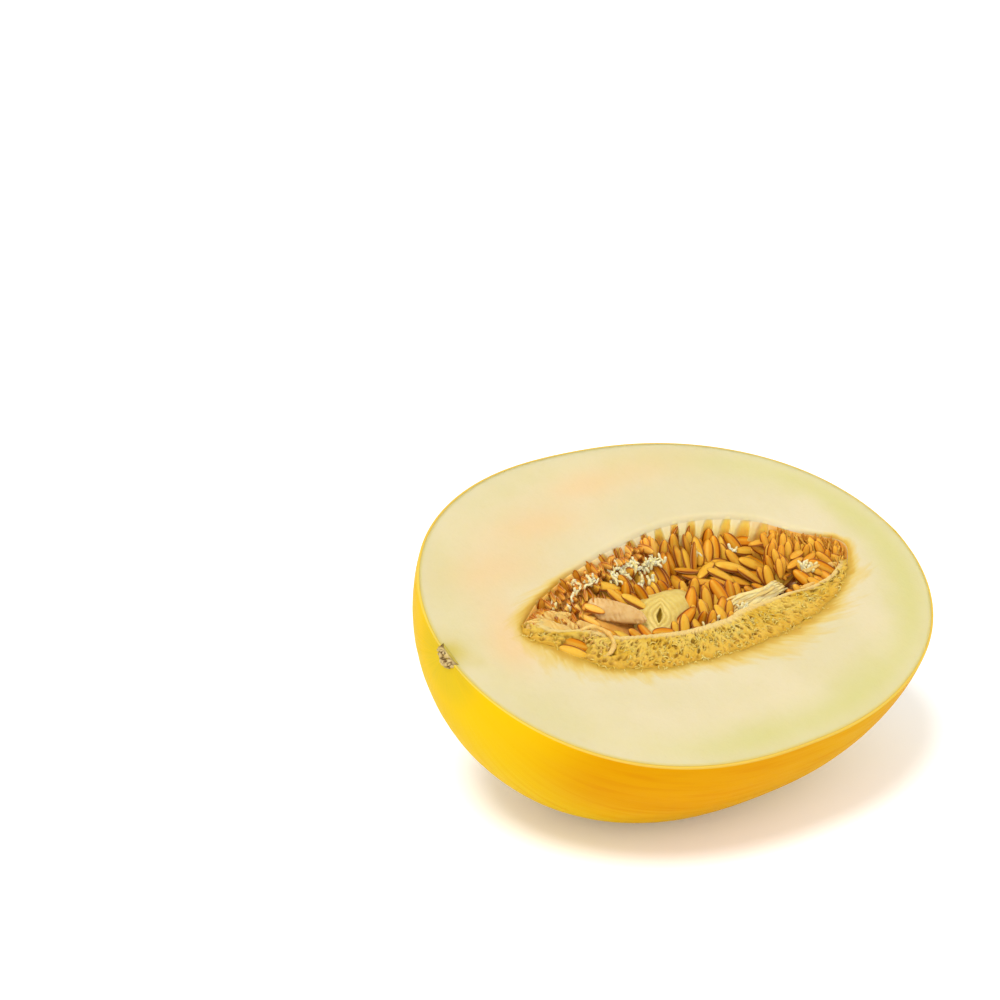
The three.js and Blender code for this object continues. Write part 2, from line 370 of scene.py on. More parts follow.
def build_mesh(name, points, faces, attributes):
    """A smooth mesh object from cut-frame points in millimetres, with doubles merged."""
    mesh = bpy.data.meshes.new(name)
    mesh.from_pydata(place(points).tolist(), [], [list(face) for face in faces])
    for key, values in attributes.items():
        layer = mesh.attributes.new(key, "FLOAT", "POINT")
        layer.data.foreach_set("value", np.asarray(values, dtype=np.float32).ravel())
    work = bmesh.new()
    work.from_mesh(mesh)
    bmesh.ops.remove_doubles(work, verts=work.verts, dist=2e-6)
    bmesh.ops.dissolve_degenerate(work, dist=1e-6, edges=work.edges)
    bmesh.ops.recalc_face_normals(work, faces=work.faces)
    work.to_mesh(mesh)
    work.free()
    mesh.shade_smooth()
    piece = bpy.data.objects.new(name, mesh)
    bpy.context.scene.collection.objects.link(piece)
    return piece


def finish_piece(piece, material, replaces=()):
    """Gives a piece its material in a slot, hangs it on the root body, and hides the CAD nodes it
    stands for.
    """
    piece.data.materials.append(material)
    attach(piece, "root")
    if replaces:
        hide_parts(*replaces)


def grid_faces(rows, columns, wrap=False, start=0):
    """Quads between the rows and columns of a grid of points, numbered row by row."""
    reach = columns if wrap else columns - 1
    faces = []
    for i in range(rows - 1):
        for j in range(reach):
            a = start + i * columns + j
            b = start + i * columns + (j + 1) % columns
            faces.append((a, b, b + columns, a + columns))
    return faces


def grid_normals(points):
    """Unit normals of a grid of points whose columns wrap round."""
    along = np.roll(points, -1, axis=1) - np.roll(points, 1, axis=1)
    across = np.gradient(points, axis=0)
    normal = np.cross(across, along)
    return normal / np.maximum(np.linalg.norm(normal, axis=-1, keepdims=True), 1e-9)


class Shapes:
    """Collects several closed shapes into one piece."""

    def __init__(self):
        self.points, self.faces, self.values = [], [], {}
        self.count = 0

    def add_grid(self, points, **values):
        """Rows of points, each a closed ring. The first and last ring are closed by a fan."""
        rows, columns = points.shape[:2]
        start = self.count
        self.faces += grid_faces(rows, columns, wrap=True, start=start)
        first, last = start + rows * columns, start + rows * columns + 1
        end = start + (rows - 1) * columns
        for j in range(columns):
            k = (j + 1) % columns
            self.faces.append((start + k, start + j, first))
            self.faces.append((end + j, end + k, last))
        caps = np.stack([points[0].mean(axis=0), points[-1].mean(axis=0)])
        self.points.append(np.vstack([points.reshape(-1, 3), caps]))
        self.count += rows * columns + 2
        for key, value in values.items():
            grid = np.broadcast_to(np.asarray(value, dtype=float), (rows, columns))
            flat = np.concatenate([grid.ravel(), [grid[0].mean(), grid[-1].mean()]])
            self.values.setdefault(key, []).append(flat)

    def add_tube(self, path, radius, sides, flatten, **values):
        """Soft tube along a path. radius is one number or one value per point."""
        path = np.asarray(path, dtype=float)
        ahead = np.gradient(path, axis=0)
        ahead /= np.linalg.norm(ahead, axis=1, keepdims=True)
        side = np.cross(ahead[0], [0.31, 0.17, 0.93])
        rings = []
        turn = np.linspace(0, 2 * math.pi, sides, endpoint=False)
        for point, direction, width in zip(path, ahead, np.broadcast_to(radius, len(path))):
            side = side - direction * (side @ direction)
            side /= np.linalg.norm(side)
            up = np.cross(direction, side)
            ring = np.cos(turn)[:, None] * side + flatten * np.sin(turn)[:, None] * up
            rings.append(point + width * ring)
        self.add_grid(np.array(rings), **values)

    def finish(self, name, material, replaces=()):
        """Makes one finished piece of the shapes."""
        values = {key: np.concatenate(parts) for key, parts in self.values.items()}
        piece = build_mesh(name, np.concatenate(self.points), self.faces, values)
        finish_piece(piece, material, replaces)


# --- CAD seeds ----------------------------------------------------------------------------------

def seed_pose(name):
    """Middle, own axes and size of a CAD seed, in the cut frame."""
    points = to_cut(node_points(name))
    middle = points.mean(axis=0)
    _, vectors = np.linalg.eigh(np.cov((points - middle).T))
    axes = vectors.T[::-1]
    along = (points - middle) @ axes[0]
    aside = np.linalg.norm((points - middle) - along[:, None] * axes[0], axis=1)
    if aside[along > 0].mean() > aside[along < 0].mean():
        axes[0] = -axes[0]
    if axes[2] @ np.array([0, 0, 1.0]) < 0:
        axes[2] = -axes[2]
    axes[1] = np.cross(axes[2], axes[0])
    local = (points - middle) @ axes.T
    low, high = local.min(axis=0), local.max(axis=0)
    return middle + (low + high) / 2 @ axes, axes, high - low


CAD_SEEDS = {name: seed_pose(name) for name in sorted(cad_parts) if name[5:].isdigit()}


# --- Fruit body ---------------------------------------------------------------------------------

def body_radius(t):
    """Share of its greatest width that the fruit has at a place along it, -1 to 1."""
    return np.sqrt(np.maximum(1.0 - np.abs(t) ** END_POWER, 0.0)) * (1.0 - STALK_FULLNESS * t)


def even_stations(count):
    """Places along the fruit, -1 to 1, evenly spaced over its skin."""
    t = -np.cos(np.linspace(0, math.pi, 4000))
    run = run_along(np.stack([HALF_LENGTH * t, HALF_WIDTH * body_radius(t)], axis=1))
    return np.interp(np.linspace(0, run[-1], count), run, t)


def press_on_ground(points):
    """Flattens the lowest rind to the ground spot, with a soft edge."""
    lowest = -math.hypot(HALF_WIDTH * math.sin(FACE_LEAN), DEPTH * math.cos(FACE_LEAN))
    floor = lowest + SPOT_DEPTH
    up = np.array([0.0, math.sin(FACE_LEAN), math.cos(FACE_LEAN)])
    height = points @ up
    lifted = floor + SPOT_SOFTNESS * np.logaddexp(0.0, (height - floor) / SPOT_SOFTNESS)
    near = smooth(height, floor + 6.0, floor + 3.0)
    return points + ((lifted - height) * near)[..., None] * up


def skin(t, phi, inset=0.0):
    """Point of the fruit's surface. phi is 0 at the far edge of the cut and pi at the near edge."""
    radius = body_radius(t)
    ideal = np.stack([
        (HALF_LENGTH - inset) * t,
        (HALF_WIDTH - inset) * radius * np.cos(phi),
        -(DEPTH - inset) * radius * np.sin(phi),
    ], axis=-1)
    drawn_out = np.stack([ideal[..., 0] / FURROW_STRETCH, HALF_WIDTH * phi, 0.0 * phi], axis=-1)
    furrows = FURROW_HEIGHT * fractal(drawn_out, FURROW_WIDTH, 3, 8)
    lumps = LUMP_HEIGHT * fractal(ideal, LUMP_SIZE, 2, 3)
    growth = 1.0 + (lumps + furrows * radius) / MEAN_RADIUS
    return press_on_ground(ideal * growth[..., None])


def make_rind():
    """Closed yellow skin: outside, rounded lip at the cut, inside."""
    stations = even_stations(RIND_GRID[0])
    t, phi = np.meshgrid(stations, np.linspace(0.0, math.pi, RIND_GRID[1]), indexing="ij")
    outer = skin(t, phi)
    inner = skin(t, phi[:, ::-1], RIND_THICKNESS)
    for side, drop in ((outer, OUTER_DROP), (inner, INNER_DROP)):
        side[:, [0, -1], 2] -= drop

    def lip(angle):
        """Points of the skin's rounded edge at one side of the cut, outermost first."""
        edges = []
        for share, drop in SKIN_LIP:
            edge = skin(stations, np.full_like(stations, angle), share * RIND_THICKNESS)
            edges.append(edge - (0.0, 0.0, drop))
        return np.stack(edges, axis=1)

    loops = np.concatenate([outer, lip(math.pi), inner, lip(0.0)[:, ::-1]], axis=1)
    rows, columns = loops.shape[:2]
    near, far = (np.full((rows, len(SKIN_LIP)), angle) for angle in (math.pi, 0.0))
    piece = build_mesh("melon_rind", loops.reshape(-1, 3), grid_faces(rows, columns, wrap=True), {
        "lengthwise": np.repeat(t[:, :1], columns, axis=1) * HALF_LENGTH,
        "girth": np.concatenate([phi, near, phi[:, ::-1], far], axis=1) * HALF_WIDTH,
    })
    finish_piece(piece, rind_material(), ["melon_half"])


def hollow_narrowing(level):
    """Share of the rim's radius that the hollow has at a share of its depth."""
    left = np.maximum(1.0 - np.maximum(level, 0.0) ** HOLLOW_POWER, 0.02)
    return left ** (1 / HOLLOW_POWER)


def groove_places():
    """Middles on the rim of the far wall's grooves, and their way along it."""
    first = (np.linspace(GROOVE_FIRST, GROOVE_LAST, GROOVE_COUNT) * RIM_POINTS).astype(int)
    ahead = RIM_LINE[first + 8] - RIM_LINE[first]
    return RIM_LINE[first], ahead / np.linalg.norm(ahead, axis=1)[:, None]


def groove_share(rim, depth):
    """How deep in a groove each place of the far wall is, 0 to 1, at a depth in millimetres."""
    share = np.zeros(len(rim))
    for i, (middle, ahead) in enumerate(zip(*groove_places())):
        leaning = middle + ahead * GROOVE_LEAN * depth
        radius = GROOVE_RADIUS * (1.0 + 0.12 * math.sin(3.7 * i))
        aside = np.linalg.norm(rim - leaning, axis=1) / radius
        top = GROOVE_TOP + 0.5 * math.sin(2.3 * i)
        below = (depth - top - GROOVE_HALF_HEIGHT) / GROOVE_HALF_HEIGHT
        inside = np.maximum(1.0 - aside ** 2.4 - abs(below) ** 2.4, 0.0) ** 0.7
        share = np.maximum(share, inside)
    return share


def wall_lean(along, depth):
    """How far the far wall has come in at a depth, least at the two ends of the hollow."""
    reach = WALL_LEAN * (0.5 + 0.5 * smooth(along, -50.0, -18.0)) * smooth(along, -72.0, -60.0)
    return reach * (1.0 - np.exp(-depth / 4.0)) * (1.0 - 0.4 * smooth(along, 40.0, 60.0))


def far_side_share(rim):
    """1 on the far side of the hollow's rim, 0 on the near side, and smooth between."""
    return smooth(rim[:, 1], -2.0, 9.0)


class HollowRim:
    """Rim of the hollow, with one place for each place of the cut face's outer edge.

    plain is the smooth outline, and places wander about it.
    """

    def __init__(self, edge):
        away = edge - HOLLOW_CENTRE
        self.theta = np.arctan2(away[:, 1], away[:, 0])
        plain_radius = hollow_radius(self.theta)
        self.plain = from_centre(self.theta, plain_radius)
        self.radius = plain_radius + 0.5 * fractal(raised(self.plain), 9.0, 2, 21)
        self.places = from_centre(self.theta, self.radius)
        self.far = far_side_share(self.plain)
        self.roll = NEAR_RIM_ROLL + (FAR_RIM_ROLL - NEAR_RIM_ROLL) * self.far


def face_rings(edge, rim):
    """Rings of the cut face, from the rind inward: places, mm to hollow, mm to rind, groove."""
    span = np.linalg.norm(edge - rim.places, axis=1)
    outward = (edge - rim.places) / span[:, None]
    from_edge = [0.0, 0.004, 0.01, 0.02, *np.linspace(0.04, 0.9, 26)]
    near_rim = [4.0, 3.0, 2.2, 1.6, 1.2, 0.9, 0.65, 0.45, 0.28, 0.14, 0.05, 0.0]
    reaches = [span * (1 - share) for share in from_edge]
    reaches += [np.minimum(reach, 0.09 * span) for reach in near_rim]
    for reach in reaches:
        flat = rim.places + outward * reach[:, None]
        waves = 0.14 * fractal(raised(flat), 26.0, 2, 5) * smooth(span - reach, 0.0, 8.0)
        drop = 0.5 * np.maximum(rim.roll - reach, 0.0) ** 2 / rim.roll
        groove = groove_share(rim.plain, 0.5 * drop.mean()) * rim.far * smooth(reach, 2.0, 0.0)
        yield raised(flat, waves - drop - 0.3 * groove), reach, span - reach, groove


def wall_rings(rim):
    """Rings of the hollow's wall and floor, downward, with the same values, and mm below 0."""
    start = rim.roll / 2
    for share in np.linspace(0.015, 1.0, WALL_RINGS) ** 1.25:
        depth = start + (HOLLOW_DEPTH - start) * share
        narrowing = hollow_narrowing(depth / HOLLOW_DEPTH)
        groove = groove_share(rim.plain, depth.mean()) * rim.far
        lean = wall_lean(rim.plain[:, 0], depth - start) * rim.far * (1.0 - 0.8 * groove)
        on_wall = raised(rim.places * narrowing[:, None], depth)
        rough = 0.3 * fractal(on_wall, 2.6, 2, 31) * smooth(depth, 1.5, 5.0)
        radius = rim.radius * narrowing + GROOVE_BITE * groove - lean + rough
        places = raised(from_centre(rim.theta, radius), -depth)
        yield places, -depth, np.full_like(depth, FAR_FROM_RIND), groove


def make_flesh():
    """Closed flesh: cut face, walls and floor of the hollow, and the hidden side under the rind."""
    inset = RIND_THICKNESS - FLESH_OVERLAP
    stations = even_stations(FLESH_STATIONS)
    far = skin(stations, np.zeros_like(stations), inset)
    near = skin(stations, np.full_like(stations, math.pi), inset)
    edge = np.concatenate([far, near[-2:0:-1]])[:, :2]
    rim = HollowRim(edge)
    rings = [*face_rings(edge, rim), *wall_rings(rim)]
    seen, to_hollow, to_rind, grooves = (np.array(part) for part in zip(*rings))
    rows, columns = seen.shape[:2]
    count = rows * columns
    faces = grid_faces(rows, columns, wrap=True)
    last = count - columns
    faces += [(last + j, last + (j + 1) % columns, count) for j in range(columns)]

    t, phi = np.meshgrid(stations, np.linspace(0.0, math.pi, HIDDEN_SWEEP), indexing="ij")
    hidden = skin(t, phi, inset)
    faces += grid_faces(*hidden.shape[:2], start=count + 1)
    floor_middle = (*HOLLOW_CENTRE, -HOLLOW_DEPTH)
    points = np.vstack([seen.reshape(-1, 3), floor_middle, hidden.reshape(-1, 3)])

    def whole(values, rest=0.0):
        """A value for every point: those of the rings, and the rest for what isn't seen."""
        values = np.broadcast_to(values, (rows, columns))
        return np.concatenate([values.ravel(), np.full(len(points) - count, rest)])

    flat = seen[..., :2]
    x, y = flat[..., 0], flat[..., 1]
    toward_green = (0.87 * x - np.where(y < 0, 0.95, 0.5) * y) / 90.0
    piece = build_mesh("melon_flesh", points, faces, {
        "from_hollow": whole(to_hollow, 60.0),
        "from_rind": whole(to_rind),
        "along_rim": whole(run_along(rim.places)),
        "groove": whole(grooves),
        "fringe_reach": whole(stretch_of_fringe(rim.plain), 1.0),
        "fringe": whole(strength_of_fringe(rim.plain)),
        "stalk_side": whole(smooth(rim.plain[:, 0], -14.0, -38.0)),
        "green_side": whole(smooth(toward_green, -0.35, 0.75)),
        "blossom_end": whole(smooth(x, 44.0, 58.0)),
        "peach": whole(peach_patches(flat)),
        "by_scar": whole(wash_by_scar(flat)),
    })
    finish_piece(piece, flesh_material())


def stretch_of_fringe(rim):
    """How far the golden fringe feathers out into the flesh, in millimetres, round the rim."""
    x, y = rim[:, 0], rim[:, 1]
    near = smooth(-y, 2.0, 14.0) * (4.4 + 2.4 * smooth(x, -30.0, 25.0))
    stalk_tip = 3.6 * np.exp(-((x + 66) / 20) ** 2)
    blossom_tip = 1.6 * np.exp(-((x - 74) / 10) ** 2)
    far_stalk_side = 1.8 * smooth(y, 0.0, 8.0) * smooth(x, -16.0, -40.0)
    return 0.8 + near + stalk_tip + blossom_tip + far_stalk_side


def strength_of_fringe(rim):
    """How strong the fringe is: 1, but 0 along the middle of the far side."""
    middle = smooth(rim[:, 0], -48.0, -18.0) * smooth(rim[:, 0], 74.0, 58.0)
    return 1.0 - far_side_share(rim) * middle


PEACH_SPOTS = [
    # middle, half sizes and strength of the ruddy patches in the flesh
    ((-62, 30), (20, 10), 0.8),
    ((-72, 8), (9, 14), 0.7),
    ((-35, 45), (22, 9), 0.9),
    ((-10, 58), (16, 7), 0.7),
    ((18, 60), (26, 8), 0.6),
    ((-77, -5), (9, 10), 0.9),
]


def peach_patches(flat):
    """Strength of the ruddy patches in the cut face."""
    wander = 1 + 0.4 * fractal(raised(flat), 20.0, 3, 15)
    spots = (strength * np.exp(-oval(flat, middle, halves) * wander)
             for middle, halves, strength in PEACH_SPOTS)
    return np.clip(sum(spots), 0, 1)


def wash_by_scar(flat):
    """Strength of the olive stain in the cut face beside the stalk scar."""
    wander = 1 + 0.6 * fractal(raised(flat), 6.0, 2, 16)
    return np.clip(0.9 * np.exp(-oval(flat, *SCAR_STAIN) * wander), 0.0, 1.0)


# --- Pulp ---------------------------------------------------------------------------------------

def bed_top(flat):
    """Height of the bed, which rises to hold each CAD seed half sunk."""
    weight = BED_STIFFNESS
    total = -weight * (BED_DEPTH - BED_RISE * np.maximum(RISE_START - flat[..., 0], 0.0))
    for middle, _, _ in CAD_SEEDS.values():
        near = np.exp(-((flat[..., :2] - middle[:2]) ** 2).sum(axis=-1) / (2 * SEED_SPREAD ** 2))
        sink = SEED_SINK * (1.3 * smooth(middle[0], -32.0, -20.0) - 0.3)
        total = total + near * (middle[2] - sink)
        weight = weight + near
    return total / weight


def even_bowl_profile(count):
    """Shares of the way out and of the depth, centre first, evenly spaced in a steep-sided bowl."""
    angle = np.linspace(0, math.pi / 2, 3000)
    out, down = np.sin(angle) ** 0.5, np.cos(angle) ** 0.5
    run = run_along(np.stack([34 * out, 14 * down], axis=1))
    even = run[-1] * np.linspace(0, 1, count) ** 0.8
    return zip(np.interp(even, run, out), np.interp(even, run, down))


class PulpPlan:
    """Radii of the pulp's outlines in a count of directions from the hollow's centre."""

    def __init__(self, count):
        self.theta = np.linspace(-math.pi, math.pi, count, endpoint=False)
        plain_rim = hollow_radius(self.theta)
        space = seed_space_radius(self.theta)
        self.has_band = smooth(plain_rim - space, 0.3, 3.0)
        self.run = run_along(from_centre(self.theta, plain_rim))
        spread = raised(np.stack([self.run, 0.0 * self.run], axis=1))
        ragged = 0.6 + 1.5 * fractal(spread, 3.2, 3, 33) + 0.8 * fractal(spread, 14.0, 2, 34)
        wall = plain_rim * hollow_narrowing(BED_DEPTH / HOLLOW_DEPTH) + 2.0
        x = from_centre(self.theta, space)[:, 0]
        roll = LIP_ROLL + LIP_EXTRA_ROLL * smooth(x, 6.0, 16.0) * smooth(x, 48.0, 38.0)
        self.bed = (1 - self.has_band) * wall + self.has_band * (space - roll)
        self.rim = plain_rim + self.has_band * ragged


def bed_rings(plan):
    """Rings of the bed and inner lip, outward: places, shares of band, lip and outer edge."""
    for out, down in even_bowl_profile(BED_RINGS):
        flat = from_centre(plan.theta, plan.bed * out)
        top = bed_top(flat)
        height = top + (LIP_TOP - top) * (1.0 - down) * plan.has_band
        band = plan.has_band * (1.0 - smooth(down, 0.1, 0.75))
        lip = plan.has_band * (1.0 - smooth(down, 0.0, 0.35))
        yield raised(flat, height), band, lip, np.zeros_like(band)


def band_rings(plan, bed_edge):
    """Rings of the spongy band, outward from the height of the bed's edge, with the same values."""
    for share in np.linspace(0.02, 1.0, BAND_RINGS):
        radius = plan.bed + (np.maximum(plan.rim, plan.bed) - plan.bed) * share
        dip = 1.1 * math.sin(math.pi * min(share * 1.6, 1.0) / 2) - 1.05 * share
        height = plan.has_band * (LIP_TOP - dip - 0.2 * smooth(share, 0.8, 1.0))
        height += (1 - plan.has_band) * bed_edge
        lip = plan.has_band * (1.0 - smooth(share * (plan.rim - plan.bed), 1.2, 3.2))
        places = raised(from_centre(plan.theta, radius), height)
        yield places, plan.has_band, lip, plan.has_band * share


def sponge(points, run):
    """Height of the spongy band's crumb, and where its webs and its pits are."""
    reach = np.linalg.norm(points[..., :2] - HOLLOW_CENTRE, axis=-1)
    run = np.broadcast_to(run, reach.shape)
    spread = np.stack([run, 0.8 * reach, 0.8 * points[..., 2]], axis=-1)
    bend = wobble(spread, 3.6, 2, 41)
    nearest, second = cell_distances(spread + 1.7 * bend, 2.5, 5)
    fine_nearest, fine_second = cell_distances(spread + 0.5 * bend, 1.15, 9)
    web = np.exp(-((second - nearest) / 0.24) ** 2)
    fine_web = np.exp(-((fine_second - fine_nearest) / 0.28) ** 2)
    pit = 1 - smooth(nearest, 0.05, 0.6)
    crumbs = 0.5 * bend[..., 0] + 0.75 * fractal(spread, 1.1, 2, 47)
    return 0.6 * web + 0.4 * fine_web - 1.3 * pit + crumbs, np.maximum(web, 0.8 * fine_web), pit


def rings_below(edge, plan):
    """Rings of the pulp's hidden side, from its edge down the hollow's wall."""
    radius = np.linalg.norm(edge[:, :2] - HOLLOW_CENTRE, axis=1)
    top = edge[:, 2]
    for level in np.linspace(0.08, 0.99, BELOW_RINGS):
        height = top + (-HOLLOW_DEPTH * 0.985 - top) * level
        narrowing = hollow_narrowing(-height / HOLLOW_DEPTH) / hollow_narrowing(-top / HOLLOW_DEPTH)
        yield raised(from_centre(plan.theta, radius * narrowing), height)


def make_pulp():
    """The tissue that fills the hollow: bed under the seeds, inner lip, and spongy near band."""
    plan = PulpPlan(PULP_DIRECTIONS)
    rings = list(bed_rings(plan))
    rings += band_rings(plan, rings[-1][0][:, 2])
    points, band, lip, outer = (np.array(part) for part in zip(*rings))
    pocket = oval(points[..., :2], *POCKET)
    sunk = np.maximum(1 - pocket, 0) ** 0.6 * smooth(points[..., 2], -6.0, -1.0)
    points[..., 2] -= POCKET_DEPTH * sunk
    hole = np.exp(-oval(points[..., :2], *HOLE) ** 2) * (1 - band)
    points[..., 2] -= HOLE_DEPTH * hole

    crumb, web, pit = sponge(points, plan.run)
    crumb *= (1 - 0.85 * lip) * smooth(pocket, 0.5, 1.3)
    strength = band * crumb + (1 - band) * 0.7 * fractal(points, 4.5, 3, 51)
    edge_fade = (0.85, 0.7, 0.55, 0.4, 0.2, 0.05)
    strength[-len(edge_fade):] *= np.array(edge_fade)[:, None]
    points = points + grid_normals(points) * strength[..., None]
    points[..., 2] = np.minimum(points[..., 2], PULP_TOP)

    seen = len(points)
    points = np.concatenate([points, np.array(list(rings_below(points[-1], plan)))])
    shares = {"hole": hole, "band": band, "lip": lip, "outer": outer, "web": web, "pit": pit}
    unseen = ((0, len(points) - seen), (0, 0))
    shapes = Shapes()
    shapes.add_grid(points, stalk_end=smooth(points[..., 0], -18.0, -38.0),
                    **{key: np.pad(values, unseen) for key, values in shares.items()})
    shapes.finish("pulp_tissue", pulp_material(), ["seed_pulp"])


def make_ring_lobe():
    """Pale lobe with a slit, ringed by soft folds, drawn out into a sheet at its upper right."""
    turn = np.linspace(0, 2 * math.pi, LOBE_GRID[1], endpoint=False)
    away = (turn - math.radians(46) + math.pi) % (2 * math.pi) - math.pi
    outline = 8.2 + 2.6 * np.abs(np.sin(turn)) + 8.0 * np.exp(-(away / math.radians(30)) ** 2)
    wide, long = SLIT_HALVES
    slit = wide * long / np.hypot(long * np.cos(turn + SLIT_TURN), wide * np.sin(turn + SLIT_TURN))
    rings, grooves, insides = [], [], []

    def add_ring(radius, height, groove, inside):
        flat = np.stack([radius * np.cos(turn), radius * np.sin(turn)], axis=1)
        rings.append(raised(flat, height))
        grooves.append(np.broadcast_to(groove, turn.shape))
        insides.append(np.full(turn.shape, inside))

    # The groove and inside values paint shade into the slit and into the furrows between the folds.
    add_ring(0.3 * slit, -1.5, 1.0, 1.0)
    for share in np.linspace(0.0, 1.0, LOBE_GRID[0]):
        radius = slit + (outline - slit) * share
        beyond = radius - slit
        phase = beyond * 2 * math.pi / FOLD_PITCH + 0.6 * np.sin(turn)
        fold = np.cos(phase) * np.exp(-beyond / 4.5)
        dome = 0.9 * (1 - share ** 2) - 2.6 * share ** 6 - 1.2 * math.exp(-share * 20)
        add_ring(radius, dome - 0.3 * fold, 0.5 + 0.5 * fold, math.exp(-share * 22))
    add_ring(0.8 * outline, -4.6, 0.5, 0.0)
    lobe = np.array(rings)
    lobe += 0.28 * wobble(lobe, 4.0, 3, 61)
    shapes = Shapes()
    shapes.add_grid(lobe @ facing(0, LOBE_LEAN) + LOBE_MIDDLE,
                    groove=np.array(grooves), inner=np.array(insides))
    shapes.finish("pulp_ring", tissue_material("pale_lobe"))


LEAVES = {
    # centre, half sizes, angle and lean in the reference view, noise seed, strength of its wrinkles
    "pulp_flap": [
        ((-28.4, 1.2, -3.7), (10.8, 4.0, 1.5), -15, 0.35, 1, 1.0),
    ],
    # crumpled skins at the stalk end of the hollow, and small ones among the seeds at the other end
    "pulp_membranes": [
        ((-54.0, 5.0, -1.7), (7.2, 2.0, 1.2), 10, 0.4, 2, 2.0),
        ((-57.4, -0.6, -0.9), (7.4, 2.8, 1.4), -14, 0.5, 3, 1.6),
        ((-63.4, 2.6, -1.2), (4.2, 3.0, 1.1), 40, 0.5, 4, 1.8),
        ((-50.6, 0.0, -1.9), (5.4, 2.2, 1.0), -38, 0.4, 5, 1.8),
        ((-44.0, -2.6, -2.6), (4.2, 1.7, 0.9), -20, 0.4, 6, 1.6),
        ((55.5, -3.4, -3.8), (4.6, 0.9, 0.6), 24, 0.4, 7, 2.0),
        ((47.4, -12.0, -1.9), (3.4, 1.1, 0.7), 30, 0.4, 8, 2.0),
        ((66.5, -5.2, -2.4), (4.4, 0.9, 0.6), 12, 0.4, 9, 2.0),
    ],
}


def soft_leaf(shapes, centre, halves, angle, lean, seed, wrinkles):
    """Fleshy leaf, rounded at one end and drawn out at the other, with slanting wrinkles."""
    turn = np.linspace(0, 2 * math.pi, LEAF_GRID[1], endpoint=False)
    a, t = np.meshgrid(np.linspace(-1, 1, LEAF_GRID[0]), turn, indexing="ij")
    outline = np.maximum(1 - np.abs(a) ** 2.4, 0.0004) ** 0.6 * (1 - 0.28 * a)
    by_side = np.stack([2.2 * a, np.sign(np.cos(t)), 0 * a], axis=-1)
    x = halves[0] * a
    y = halves[1] * outline * np.cos(t) * (1 + 0.22 * fractal(by_side, 1.0, 3, 90 + seed))
    z = halves[2] * outline ** 0.8 * np.sin(t)
    flat = np.stack([x, y, 0 * x], axis=-1)
    slant = x + 0.8 * y + 1.2 * fractal(flat, 3.0, 3, seed)
    crease = np.sin(slant * 3.3) * smooth(fractal(flat, 2.6, 2, 50 + seed), -0.4, 0.5)
    leaf = np.stack([x, y, z + 0.13 * wrinkles * crease * smooth(z, -0.2, 0.4)], axis=-1)
    leaf += 0.5 * wobble(leaf, (4.0, 2.0, 2.0), 3, 70 + seed)
    placed = leaf @ facing(angle, lean) + np.array(centre)
    # groove paints shade into the furrows of the wrinkles.
    shapes.add_grid(placed, groove=0.5 - 0.5 * crease, inner=0.0)


def make_leaves(name, tissue):
    """One piece of the soft leaves that LEAVES lists under its name."""
    shapes = Shapes()
    for leaf in LEAVES[name]:
        soft_leaf(shapes, *leaf)
    shapes.finish(name, tissue_material(tissue))


# --- Strands and threads ------------------------------------------------------------------------

STRAND_MIDDLE = [
    (16, -12, -7), (20, -11.0, -4.6), (26, -9.4, -4.4), (33, -7.8, -4.4), (38.5, -6.4, -4.6),
    (42.5, -5.0, -7.0),
]
STRAND_COUNT = 15
BAND_FIBRE_COUNT = 400
END_FIBRE_COUNT = 230
CURL_THREADS = 16
POCKET_CLEARANCE = 6.5  # from the pocket's middle to the nearest fibre

CURL_PATH = [
    (-50.5, -5.6, -1.9), (-48.0, -5.0, 0.2), (-45.4, -5.4, 1.0), (-42.6, -7.8, 1.2),
    (-41.2, -11.4, 1.1), (-42.2, -15.2, 1.0), (-45.2, -17.8, 0.8), (-49.0, -18.8, -0.5),
]

THREAD_PATCHES = [
    # count, middle, reach and height of a patch of white threads
    (46, (-12.5, 18.8), (6.0, 2.8), -2.8),
    (20, (0, 18.6), (5, 2.2), -3.8),
    (14, (-19, 15.5), (3.5, 3.0), -3.0),
    (9, (-29, 16), (4.0, 2.0), -2.0),
    (5, (-37, 16), (3, 2), -2.0),
    (5, (-46, 11), (5, 3), -2.2),
    (12, (-10, 13), (8, 4), -5.0),
    (5, (21, 20), (2.5, 1.2), -6.5),
    (5, (36, 17), (2.5, 1.2), -7.0),
    (9, (19, -11.5), (4, 2.4), -4.0),
    (7, (55, -2), (3, 1.6), -3.4),
    (9, (4, -14), (4, 1.6), -5.0),
]


def add_thread(shapes, random, middle, length, radius,
               inner=0.0, lean=38, bend=1.0, steps=22, sides=8):
    """Short curly worm of tissue about a middle, in the plane that faces the reference view."""
    along, up, _ = facing(90 + random.normal(0, lean), 0.3)
    turn = bend * random.uniform(-1.0, 1.0)
    s = np.linspace(-0.5, 0.5, steps)
    sideways = turn * (s ** 2 - 0.08) * length + 0.1 * np.sin(s * 9 + 6 * turn)
    path = middle + np.outer(s * length, along) + np.outer(sideways, up)
    path[:, 2] = np.minimum(path[:, 2] + 0.3 * np.sin(9 * s + 5 * turn), 0.4)
    round_ends = np.maximum(1 - (2 * s) ** 6, 0.02) ** 0.5
    shapes.add_tube(path, radius * round_ends, sides, 0.9, groove=0.5 + 0.5 * turn, inner=inner)


